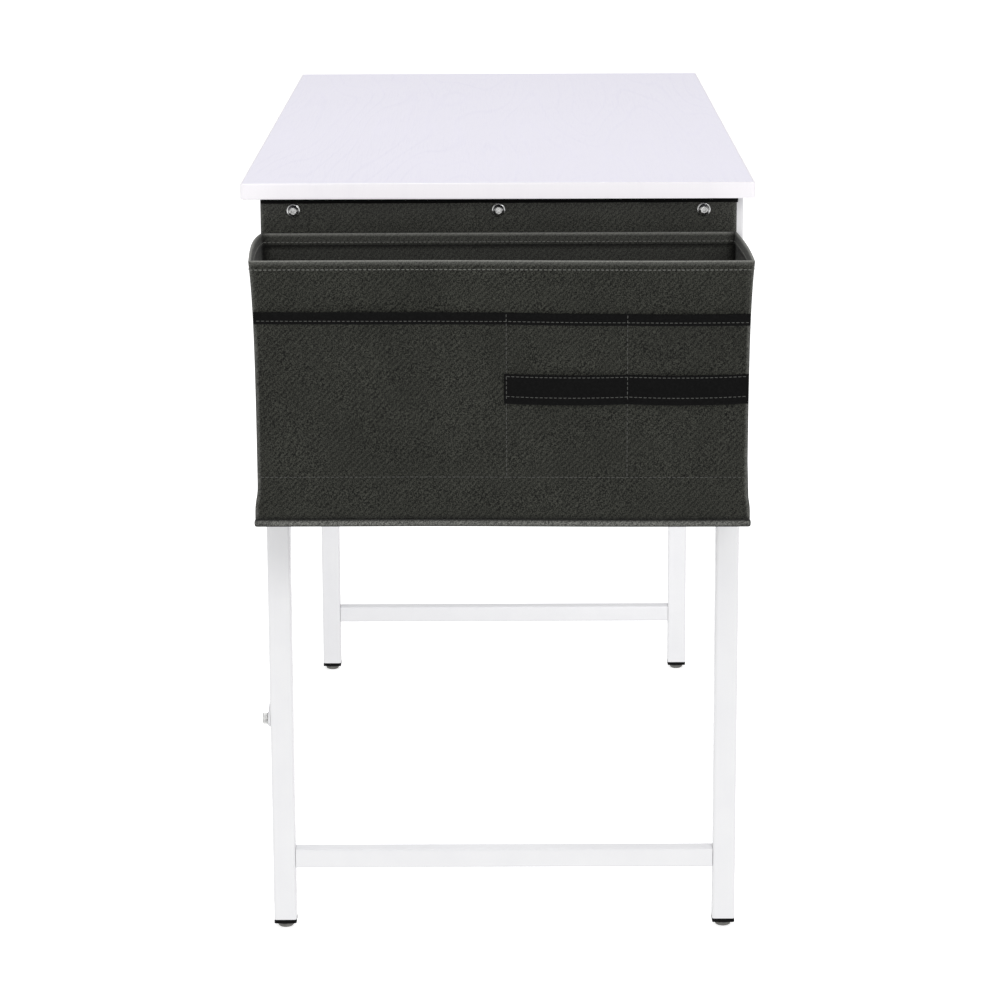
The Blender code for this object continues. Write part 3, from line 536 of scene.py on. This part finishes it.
def centre_y(out):
    """y of the bag's middle at a distance out."""
    return BAG_CENTRE_Y + BACK_SKEW * (1.0 - out / BAG_DEPTH)


def bag_point(out, across, height):
    return Vector((BAG_BACK_X - out, centre_y(out) + across, height - front_sag(out, across)))


def bag_place(point):
    """A point of the bag as out, across and its drop below the rim above it."""
    out = BAG_BACK_X - point.x
    across = point.y - centre_y(out)
    return out, across, rim_height(out) - front_sag(out, across) - point.z


def side_of(across):
    """1 towards the table's back and -1 towards the user."""
    return 1 if across > 0 else -1


def within_walls(point):
    """Whether a point of the bag's shell is on its inside."""
    out, across, drop = bag_place(point)
    height = rim_height(out) - drop
    deep = back_out(across, height) + WALL / 2 < out < front_out(across, height) - WALL / 2
    return deep and abs(across) < side_across(out, drop, side_of(across)) - WALL / 2


def rim_height(out):
    return BAG_RIM - RIM_SLOPE * out


def opening(drop):
    """How much of the mouth's own shape is left at a drop below the rim."""
    return math.exp(-max(0.0, drop) / MOUTH_DECAY)


def side_across(out, drop, sign):
    """Half the bag's width at a distance out, bowed and flared at the mouth and slack lower down."""
    share = out / BAG_DEPTH
    height = rim_height(out) - BAG_BOTTOM
    bow, nearness = MOUTH_BOWS[sign]
    bow *= math.sin(math.pi * max(0.0, share) ** nearness)
    mouth = opening(drop) * (MOUTH_FLARE * share + bow) - BACK_TAPER * (1.0 - share)
    slack = SIDE_SLACK * math.sin(math.pi * share) * math.sin(math.pi * min(1.0, drop / height))
    above_bottom = max(0.0, height - drop)
    foot = FOOT_FLARE * math.exp(-((above_bottom / FOOT_FLARE_HEIGHT) ** 4))
    return BAG_HALF + mouth + foot - slack


def ripple(across, height, seed, fine=1.0):
    """Gentle unevenness of hanging cloth, about a millimetre."""
    broad = noise.noise(Vector((9.0 * across, 11.0 * height, seed)))
    folds = noise.noise(Vector((34.0 * across, 7.0 * height, seed + 5.0)))
    return BROAD_RIPPLE * broad + FINE_RIPPLE * fine * folds


def front_out(across, height):
    """How far out the bag's front face stands, with a slight belly."""
    drop = rim_height(BAG_DEPTH) - height
    share = min(1.0, max(0.0, drop / (rim_height(BAG_DEPTH) - BAG_BOTTOM)))
    width = max(0.0, 1.0 - (across / BAG_HALF) ** 2)
    belly = BELLY * math.sin(math.pi * share) * width
    held = 0.35 + 0.65 * math.sin(math.pi * share)
    return BAG_DEPTH - FRONT_SET_IN + belly + ripple(across, height, 2.0) * held * width


def back_out(across, height):
    """The back wall lies flat against the table's end, so it only ripples away from it."""
    return BACK_GAP + abs(ripple(across, height, 8.0, 0.5)) * 0.5


def shell_ring(drop_share, inset, lift=0.0):
    """A ring of points round the bag, at a share of the way down from the rim, inset from outside."""
    def height_at(out):
        rim = rim_height(out) + lift
        return rim + (BAG_BOTTOM - rim) * drop_share

    def drop_at(out):
        return rim_height(out) - height_at(out)

    ridge = CORNER_RIDGE if inset == 0.0 else 0.0
    ring = []
    corner = CORNER_RADIUS
    for sign in (1, -1):
        half = []
        near = side_across(corner, drop_at(corner), sign) - corner
        far = side_across(BAG_DEPTH - corner, drop_at(BAG_DEPTH - corner), sign) - corner
        for share in spread(0.0, 1.0, 34)[:-1]:
            across = near * share
            half.append((back_out(sign * across, height_at(0.0)) + inset, across))
        start = back_out(sign * near, height_at(0.0))
        half += [
            (start + corner - (corner - inset) * math.cos(a), near + (corner - inset) * math.sin(a))
            for a in spread(0.0, math.pi / 2, 6)[:-1]
        ]
        for out in spread(start + corner, BAG_DEPTH - corner, 26)[:-1]:
            half.append((out, side_across(out, drop_at(out), sign) - inset))
        end = front_out(sign * far, height_at(BAG_DEPTH))
        half += [
            (
                end - corner + (corner - inset) * math.sin(a) + ridge * bell(a - math.pi / 4, 0.45),
                far + (corner - inset) * math.cos(a) + ridge * bell(a - math.pi / 4, 0.45),
            )
            for a in spread(0.0, math.pi / 2, 10)[:-1]
        ]
        for share in spread(1.0, 0.0, 56):
            across = far * share
            half.append((front_out(sign * across, height_at(BAG_DEPTH)) - inset, across))
        points = [(out, sign * across) for out, across in half]
        ring += points if sign > 0 else list(reversed(points))[1:-1]
    return [bag_point(out, across, height_at(out)) for out, across in ring]


def floor_rings(level, sag, inset):
    """Rings that close the bag's floor, from its edge to its middle."""
    edge = shell_ring(1.0, inset)
    middle = sum(edge, Vector()) / len(edge)
    rings = []
    for share in (0.97, 0.9, 0.75, 0.5, 0.25, 0.04):
        drop = sag * (1.0 - share * share)
        ring = [middle + (point - middle) * share for point in edge]
        rings.append([Vector((point.x, point.y, point.z - BAG_BOTTOM + level - drop)) for point in ring])
    return rings


def make_shell():
    """The bag's wall and floor in one closed body, with the hem folded to the inside."""
    depth = BAG_RIM - BAG_BOTTOM
    radius = HEM / 2
    outside = spread(1.0, radius / depth, 64)
    piece = Piece()
    rings = list(reversed(floor_rings(BAG_BOTTOM - FLOOR_DROP, FLOOR_SAG, 0.0005)))
    rings += [shell_ring(share, 0.0) for share in outside]
    for angle in spread(0.0, math.pi, 7)[1:-1]:
        inset = radius - radius * math.cos(angle)
        rings.append(shell_ring(radius * (1.0 - math.sin(angle)) / depth, max(inset, 1e-5)))
    for share in spread(radius / depth, (HEM_DROP - 0.0004) / depth, 6):
        rings.append(shell_ring(share, HEM))
    rings.append(shell_ring(HEM_DROP / depth, (HEM + WALL) / 2))
    for share in spread((HEM_DROP + 0.0002) / depth, 1.0 - WALL / depth, 48):
        rings.append(shell_ring(share, WALL))
    rings += floor_rings(BAG_BOTTOM + WALL, INNER_FLOOR_SAG, WALL)
    piece.sweep(rings)

    def wear_and_painted_light(point):
        """Lighter along the rim and the front corners, partly wear and partly a painted highlight, and a
        little lighter inside, which is painted light.
        """
        out, across, drop = bag_place(point)
        edge = side_across(out, drop, side_of(across))
        rim = bell(drop, 0.0019 if out < BAG_DEPTH / 2 else 0.0012)
        corner = bell(out - BAG_DEPTH, 0.0035) * bell(abs(across) - edge, 0.0022)
        return max(rim, 0.45 * corner, 0.16 if within_walls(point) else 0.0)

    def painted_shade(point):
        """Painted shade: dark inside, under the hem's fold and in the back corners, and above the bottom
        seam.
        """
        out, across, drop = bag_place(point)
        seam = bell(rim_height(out) - drop - PIPING_TOP - 0.0006, 0.0009)
        if not within_walls(point):
            return 0.9 * seam
        hem = bell(drop - HEM_DROP - 0.0006, 0.0007)
        edge = side_across(out, drop, side_of(across))
        corner = bell(out - BACK_GAP - WALL, 0.0032) * bell(abs(across) - edge + WALL, 0.0036)
        return 0.9 * max(hem, corner, seam)

    shell = piece.make("bag_shell", CLOTH, wear_and_painted_light, painted_shade)
    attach(shell, "bag")
    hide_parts("bag_body")
    return shell


# Pocket

def pocket_lift(y, height):
    """How far the pocket stands off the bag's front: sewn down at its edges, dividers and seam."""
    edges_y = (BAG_CENTRE_Y + BAG_HALF, *DIVIDERS, BAG_CENTRE_Y - BAG_HALF)
    slack = 0.0
    for left, right in zip(edges_y, edges_y[1:]):
        if right <= y <= left:
            share = (left - y) / (left - right)
            slack = math.sin(math.pi * share) ** 0.8 * min(0.0030, 0.014 * (left - right))
    rise = (height - POCKET_SEAM_HEIGHT) / (POCKET_HIGH.z - POCKET_SEAM_HEIGHT)
    mouth = max(0.0, rise) ** 2.5
    return 0.0002 + 0.0008 * max(0.0, rise) ** 6 + slack * (0.08 * max(0.0, rise) + 0.92 * mouth)


def on_pocket(y, height, proud):
    """A point on the pocket's outer face, proud of the bag's front by the pocket's own lift and more."""
    across = y - BAG_CENTRE_Y
    out = front_out(across, height) + pocket_lift(y, height) + proud
    rise = max(0.0, (height - POCKET_SEAM_HEIGHT) / (POCKET_HIGH.z - POCKET_SEAM_HEIGHT))
    return bag_point(out, across, height - POCKET_MOUTH_SAG * leaning(across) * rise**3)


def front_edge(height, sign):
    """y of the front panel's sewn side edge at a height."""
    drop = rim_height(BAG_DEPTH) - height
    half = side_across(BAG_DEPTH - CORNER_RADIUS, drop, sign) - CORNER_RADIUS + 0.0019
    return BAG_CENTRE_Y + sign * half


def make_panel():
    """The pocket panel, sewn into the bag's front corners and its bottom seam."""
    section = strip_section(PANEL, POCKET_LOW.z - 0.002, POCKET_HIGH.z - PANEL_END, 60)
    piece = Piece()
    rings = []
    for share in spread(-1.0, 1.0, 150):
        sign = side_of(share)
        ring = []
        for proud, height in section:
            y = BAG_CENTRE_Y + abs(share) * (front_edge(height, sign) - BAG_CENTRE_Y)
            tuck = 0.0009 * bell(abs(share) - 1.0, 0.006)
            ring.append(on_pocket(y, height, proud - tuck))
        rings.append(ring)
    piece.sweep(rings)

    def painted_shade(point):
        """Painted shade just above the bottom seam."""
        level = PIPING_TOP - front_sag(BAG_DEPTH, point.y - BAG_CENTRE_Y)
        return 0.9 * bell(point.z - level - 0.0005, 0.0010)

    panel = piece.make("pocket_front", CLOTH, side_seam_wear_and_highlight, painted_shade)
    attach(panel, "bag")
    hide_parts("pocket_panel")
    return panel


def side_seam_wear_and_highlight(point):
    """Lighter along the panel's two side seams, partly wear and partly a painted highlight."""
    seam = bell(point.y - front_edge(point.z, side_of(point.y - BAG_CENTRE_Y)), 0.0009)
    return max(0.0, min(1.0, 0.5 * seam * (0.8 + 0.6 * noise.noise(point * 420.0))))


def make_pocket_binding():
    """Black tape folded over the pocket's top edge."""
    low = BINDING_LOW.z - BINDING_WIDEN
    top = POCKET_HIGH.z
    outer = [(PANEL + BINDING, height) for height in spread(low + 0.0003, top - PANEL_END, 9)]
    over = arc((PANEL / 2, top - PANEL_END), PANEL / 2 + BINDING, 0, 180, 9)[1:]
    inner = [(-BINDING, top - 0.004), (-BINDING / 2, top - 0.0044), (0.0, top - 0.004)]
    under = arc((PANEL / 2, top - PANEL_END), PANEL / 2, 180, 0, 7)
    under += [(PANEL, height) for height in spread(top - 0.002, low + 0.0003, 8)]
    section = outer + over + inner + under + [(PANEL + BINDING / 2, low)]
    rings = []
    for y in spread(front_edge(top, -1), front_edge(top, 1), 150):
        ring = []
        for proud, height in section:
            above = Vector((0, 0, max(0.0, height - top)))
            ring.append(on_pocket(y, min(height, top), proud) + above)
        rings.append(ring)
    piece = Piece()
    piece.sweep(rings)
    # Lighter along the tape's folded top edge, partly wear and partly a painted highlight.
    binding = piece.make("pocket_tape", TAPE, lambda point: bell(point.z - top, 0.0008))
    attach(binding, "bag")
    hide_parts("pocket_binding")
    return binding


# Elastic band

BAND_HOLDS = (DIVIDERS[0], DIVIDERS[1], BAND_LOW.y - 0.0035)  # y where the band is sewn down


def band_lift(y):
    """How far the elastic band stands off the pocket between its rows of stitches."""
    for left, right in zip(BAND_HOLDS, BAND_HOLDS[1:]):
        if right <= y <= left:
            share = (left - y) / (left - right)
            return BAND_CLEAR + BAND_SLACK * math.sin(math.pi * share) ** 0.7
    return BAND_CLEAR


def on_band(y, height, proud):
    """A point on the elastic band's outer face, which droops a little in each loop."""
    middle = (BAND_LOW.z + BAND_HIGH.z) / 2
    droop = 0.25 * (band_lift(y) - BAND_CLEAR)
    point = on_pocket(y, height, PANEL + band_lift(y) + proud)
    hang = 1.0 if height < middle else 0.5
    point.z -= droop * hang
    return point


def make_elastic_band():
    """A wide elastic band for tools, sewn down at its end, at the divider and in the side seam."""
    section = strip_section(BAND, BAND_LOW.z - BAND_DROP, BAND_HIGH.z + BAND_RISE, 14)
    first = DIVIDERS[0] + 0.0022
    last = front_edge(BAND_LOW.z, -1) - 0.0006
    rings = []
    for y in spread(first, last, 110):
        rings.append([on_band(y, height, proud) for proud, height in section])
    piece = Piece()
    piece.sweep(rings)
    band = piece.make("elastic_strap", TAPE)
    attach(band, "bag")
    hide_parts("elastic_band")
    return band


# Piping

def make_piping():
    """The lighter lip of cloth round the bag's bottom seam."""
    tall = PIPING_TALL / 2
    deep = PIPING_DEEP
    route = shell_ring(1.0, 0.0)
    middle = sum(route, Vector()) / len(route)
    rings = []
    count = len(route)
    for step in range(count):
        along = (route[(step + 1) % count] - route[step - 1]).normalized()
        outward = Vector((along.y, -along.x, 0.0))
        point = route[step] + Vector((0, 0, tall - PIPING_DROP))
        if outward.dot(point - middle) < 0:
            outward.negate()
        before = max(0.0, -outward.x) ** 2
        behind = max(0.0, outward.x) ** 2
        proud = PIPING_PROUD * (before - outward.y**2) - (deep - PIPING_SHOWS_BEHIND) * behind
        centre = point + outward * proud
        rings.append(
            [
                centre + outward * deep * math.cos(a) + Vector((0, 0, tall * math.sin(a)))
                for a in spread(0.0, 2 * math.pi, 13)[:-1]
            ]
        )
    piece = Piece()
    piece.sweep(rings, closed=True)

    def painted_shade(point):
        """Painted shade where the lip meets the wall above it, where it turns under and near its corners."""
        across = point.y - BAG_CENTRE_Y
        level = BAG_BOTTOM - PIPING_DROP - front_sag(BAG_BACK_X - point.x, across)
        seam = bell(point.z - level - PIPING_TALL, 0.0013)
        under = bell(point.z - level, 0.0012)
        corner = 0.8 * bell(BAG_HALF - abs(across), 0.013) * bell(point.z - level, 0.0036)
        return 0.92 * max(seam, under, corner)

    piping = piece.make("bottom_piping", PIPING_CLOTH, None, painted_shade)
    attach(piping, "bag")
    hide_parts("bag_piping")
    return piping


# Flap

BOLTS = ("bag_bolt_front", "bag_bolt_middle", "bag_bolt_back")
BOLTS_Y = [sum(corner.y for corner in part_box(bolt)) / 2 for bolt in BOLTS]
BOLT_Z = sum(corner.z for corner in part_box("bag_bolt_middle")) / 2


def flap_pucker(y, height):
    """Shallow folds that run down from the bolts, which press the cloth flat just around them."""
    folds = 0.0
    for bolt_y in BOLTS_Y:
        drop = BOLT_Z - height
        fan = noise.noise(Vector((60.0 * (y - bolt_y), 25.0 * height, 3.0)))
        near = math.hypot(y - bolt_y, drop)
        folds += PUCKER * abs(fan) * bell(near - PUCKER_REACH, 0.014)
    return folds


def make_flap():
    """The strip of cloth that the bolts clamp to the end rail and that carries the bag. It is one sheet
    from under the table top to its tail, sewn behind the bag's back wall."""
    low = FOLD_HEIGHT - FLAP_TAIL
    section = strip_section(FLAP_CLOTH, low, FLAP_HIGH.z, 36)
    rings = []
    for y in spread(FLAP_LOW.y, FLAP_HIGH.y, 130):
        ring = []
        for proud, height in section:
            above = max(0.0, min(1.0, (height - FOLD_HEIGHT) / 0.004))
            ring.append(Vector((FLAP_HIGH.x - proud - above * flap_pucker(y, height), y, height)))
        rings.append(ring)
    piece = Piece()
    piece.sweep(rings)

    def wear_and_painted_light(point):
        """Rubbed along its side edges, and lighter towards its top, which is painted light."""
        side = min(abs(point.y - FLAP_LOW.y), abs(point.y - FLAP_HIGH.y))
        high = max(0.0, (point.z - FOLD_HEIGHT) / (FLAP_HIGH.z - FOLD_HEIGHT))
        return 0.06 + 0.17 * high * high + 0.30 * bell(side, 0.0010)

    flap = piece.make("hanging_flap", CLOTH, wear_and_painted_light)
    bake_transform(flap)
    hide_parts("bag_flap")
    return flap


def make_flap_tape():
    """The black tape sewn along the flap's top edge."""
    low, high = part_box("flap_tape")
    section = strip_section(high.x - low.x, low.z - TAPE_WIDEN, high.z, 4)
    rings = []
    for y in spread(low.y - TAPE_END, high.y - 0.0002, 110):
        sway = 0.0003 * noise.noise(Vector((30.0 * y, 1.0, 4.0)))
        rings.append([Vector((high.x - proud - abs(sway), y, height + sway)) for proud, height in section])
    piece = Piece()
    piece.sweep(rings)
    tape = piece.make("flap_top_tape", TAPE)
    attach(tape, "table")
    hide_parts("flap_tape")
    return tape


# Thread

def add_stitch(piece, start, end, outward):
    """One stitch: a short round thread that comes out of the cloth, lies on it and goes back in."""
    along = (end - start).normalized()
    aside = along.cross(outward).normalized()
    rings = []
    for share in spread(0.0, 1.0, 6):
        rise = THREAD_RADIUS * (1.5 * math.sin(math.pi * share) ** 0.5 - 0.7)
        centre = start.lerp(end, share) + outward * rise
        radius = THREAD_RADIUS * (0.75 + 0.25 * math.sin(math.pi * share))
        rings.append(
            [
                centre + (aside * math.cos(a) + outward * math.sin(a)) * radius
                for a in spread(0.0, 2 * math.pi, 7)[:-1]
            ]
        )
    piece.sweep(rings)


def stitch_along(piece, first, last, spot, outward):
    """A row of stitches from one parameter to the other; spot gives the point on the cloth there."""
    count = max(1, round(abs(last - first) / STITCH_PITCH))
    share = STITCH / STITCH_PITCH
    for step in range(count):
        near = first + (last - first) * step / count
        far = near + (last - first) * share / count
        add_stitch(piece, spot(near), spot(far), outward)


def make_hem_thread():
    """The stitches that hold the hem, all round the bag's mouth, on its outside and its inside."""
    depth = BAG_RIM - BAG_BOTTOM
    piece = Piece()
    for inset, side in ((0.0, 1), (HEM, -1)):
        route = shell_ring(HEM_STITCH_DROP / depth, inset)
        lengths = [0.0]
        for near, far in zip(route, route[1:] + route[:1]):
            lengths.append(lengths[-1] + (far - near).length)
        middle = sum(route, Vector()) / len(route)

        def spot(distance):
            index = next(i for i in range(len(route)) if lengths[i + 1] >= distance - 1e-9)
            share = (distance - lengths[index]) / max(1e-9, lengths[index + 1] - lengths[index])
            return route[index].lerp(route[(index + 1) % len(route)], min(1.0, share))

        count = round(lengths[-1] / STITCH_PITCH)
        for step in range(count):
            near = lengths[-1] * step / count
            start = spot(near)
            end = spot(near + STITCH * lengths[-1] / (count * STITCH_PITCH))
            outward = (end - start).normalized().cross(Vector((0, 0, 1)))
            if outward.dot(start - middle) * side < 0:
                outward.negate()
            add_stitch(piece, start, end, outward)
    thread = piece.make("hem_thread", THREAD)
    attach(thread, "bag")
    return thread


def make_pocket_thread():
    """The stitches of the pocket: its dividers, its lower seam and its binding."""
    out = Vector((-1, 0, 0))
    piece = Piece()
    top = POCKET_HIGH.z
    for y in DIVIDERS:
        def down(height, y=y):
            proud = PANEL + (BINDING if height > BINDING_LOW.z else 0.0)
            return on_pocket(y, height, proud)

        stitch_along(piece, top - 0.0008, POCKET_SEAM_HEIGHT, down, out)
    stitch_along(
        piece,
        front_edge(POCKET_SEAM_HEIGHT, -1) + ROW_END,
        front_edge(POCKET_SEAM_HEIGHT, 1) - ROW_END,
        lambda y: on_pocket(y, POCKET_SEAM_HEIGHT, PANEL),
        out,
    )
    row = BINDING_LOW.z + BINDING_STITCH_RISE
    stitch_along(
        piece,
        front_edge(row, -1) + ROW_END,
        front_edge(row, 1) - ROW_END,
        lambda y: on_pocket(y, row, PANEL + BINDING),
        out,
    )
    thread = piece.make("pocket_thread", DARK_THREAD)
    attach(thread, "bag")
    return thread


def make_band_thread():
    """Two rows along the elastic band and one across each place where it is sewn down."""
    out = Vector((-1, 0, 0))
    piece = Piece()
    high_row = BAND_HIGH.z + BAND_RISE - BAND_STITCH_INSET
    for height in (BAND_LOW.z + BAND_LOW_ROW, high_row):
        stitch_along(
            piece,
            DIVIDERS[0],
            front_edge(height, -1) + ROW_END,
            lambda y, height=height: on_band(y, height, BAND),
            out,
        )
    for y in DIVIDERS:
        stitch_along(
            piece,
            high_row,
            BAND_LOW.z + BAND_STITCH_INSET,
            lambda height, y=y: on_band(y, height, BAND),
            out,
        )
    thread = piece.make("band_thread", DARK_THREAD)
    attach(thread, "bag")
    return thread


# Studio

def make_floor():
    """A plain pale floor that glows a little."""
    bm = bmesh.new()
    bmesh.ops.create_grid(bm, x_segments=2, y_segments=2, size=FLOOR_SIZE / 2)
    mesh = bpy.data.meshes.new("floor")
    bm.to_mesh(mesh)
    bm.free()
    material = new_material("pale_floor", Base_Color=colour(0.93, 0.93, 0.93), Roughness=0.9)
    shader_of(material).inputs["Specular IOR Level"].default_value = 0.1
    shader_of(material).inputs["Emission Color"].default_value = colour(1.0, 1.0, 1.0)
    shader_of(material).inputs["Emission Strength"].default_value = FLOOR_GLOW
    mesh.materials.append(material)
    floor = bpy.data.objects.new("floor", mesh)
    floor.visible_diffuse = False  # its glow keeps it pale without lighting the table from below
    bpy.context.scene.collection.objects.link(floor)


def make_light(name, size, power, spot, target):
    lamp = bpy.data.lights.new(name, "AREA")
    lamp.shape = "RECTANGLE"
    lamp.size, lamp.size_y = size
    lamp.energy = power
    holder = bpy.data.objects.new(name, lamp)
    holder.location = spot
    holder.rotation_euler = (Vector(target) - Vector(spot)).to_track_quat("-Z", "Y").to_euler()
    bpy.context.scene.collection.objects.link(holder)
    return holder


def make_lights():
    """A pale sky, softboxes before the bag and above, and a small fill under the table top."""
    world = bpy.data.worlds.new("studio")
    bpy.context.scene.world = world
    world.use_nodes = True
    sky = world.node_tree.nodes["Background"]
    sky.inputs["Color"].default_value = colour(1.0, 1.0, 1.0)
    sky.inputs["Strength"].default_value = SKY_STRENGTH
    low = make_light("softbox_low", (3.4, 1.1), 84.0, (-6.2, 0.3, 0.62), (-0.4, 0.0, 0.45))
    low.visible_glossy = False
    make_light("softbox_high", (2.4, 1.6), 60.0, (-5.0, -1.7, 3.2), (-0.2, 0.0, 0.4))
    make_light("softbox_above", (2.4, 1.8), 24.0, (-0.1, 0.2, 3.2), (0.0, 0.0, 0.5))
    under = make_light("fill_under_top", (0.5, 0.3), 1.3, (-0.05, 0.0, 0.42), (-0.05, 0.0, 0.0))
    under.visible_camera = False
    under.visible_glossy = False
    bpy.context.scene.view_settings.view_transform = "Standard"


def make_camera():
    """Looks along +X at the bag's end, from a little above the table top."""
    lens = bpy.data.cameras.new("camera")
    lens.lens = CAMERA_LENS
    lens.sensor_width = SENSOR
    forward = Vector(
        (
            math.cos(CAMERA_YAW) * math.cos(CAMERA_PITCH),
            -math.sin(CAMERA_YAW) * math.cos(CAMERA_PITCH),
            -math.sin(CAMERA_PITCH),
        )
    )
    level_right = Vector((-math.sin(CAMERA_YAW), -math.cos(CAMERA_YAW), 0.0))
    level_up = level_right.cross(forward)
    right = level_right * math.cos(CAMERA_ROLL) + level_up * math.sin(CAMERA_ROLL)
    up = level_up * math.cos(CAMERA_ROLL) - level_right * math.sin(CAMERA_ROLL)
    camera = bpy.data.objects.new("camera", lens)
    turn = Matrix((right, up, -forward)).transposed().to_4x4()
    spot = (TOP_LOW.x - CAMERA_DISTANCE, CAMERA_ASIDE, CAMERA_HEIGHT)
    camera.matrix_world = Matrix.Translation(spot) @ turn
    bpy.context.scene.collection.objects.link(camera)
    bpy.context.scene.camera = camera


finish_nodes()
make_shell()
make_panel()
make_pocket_binding()
make_elastic_band()
make_piping()
make_flap()
make_flap_tape()
make_hem_thread()
make_pocket_thread()
make_band_thread()
make_floor()
make_lights()
make_camera()
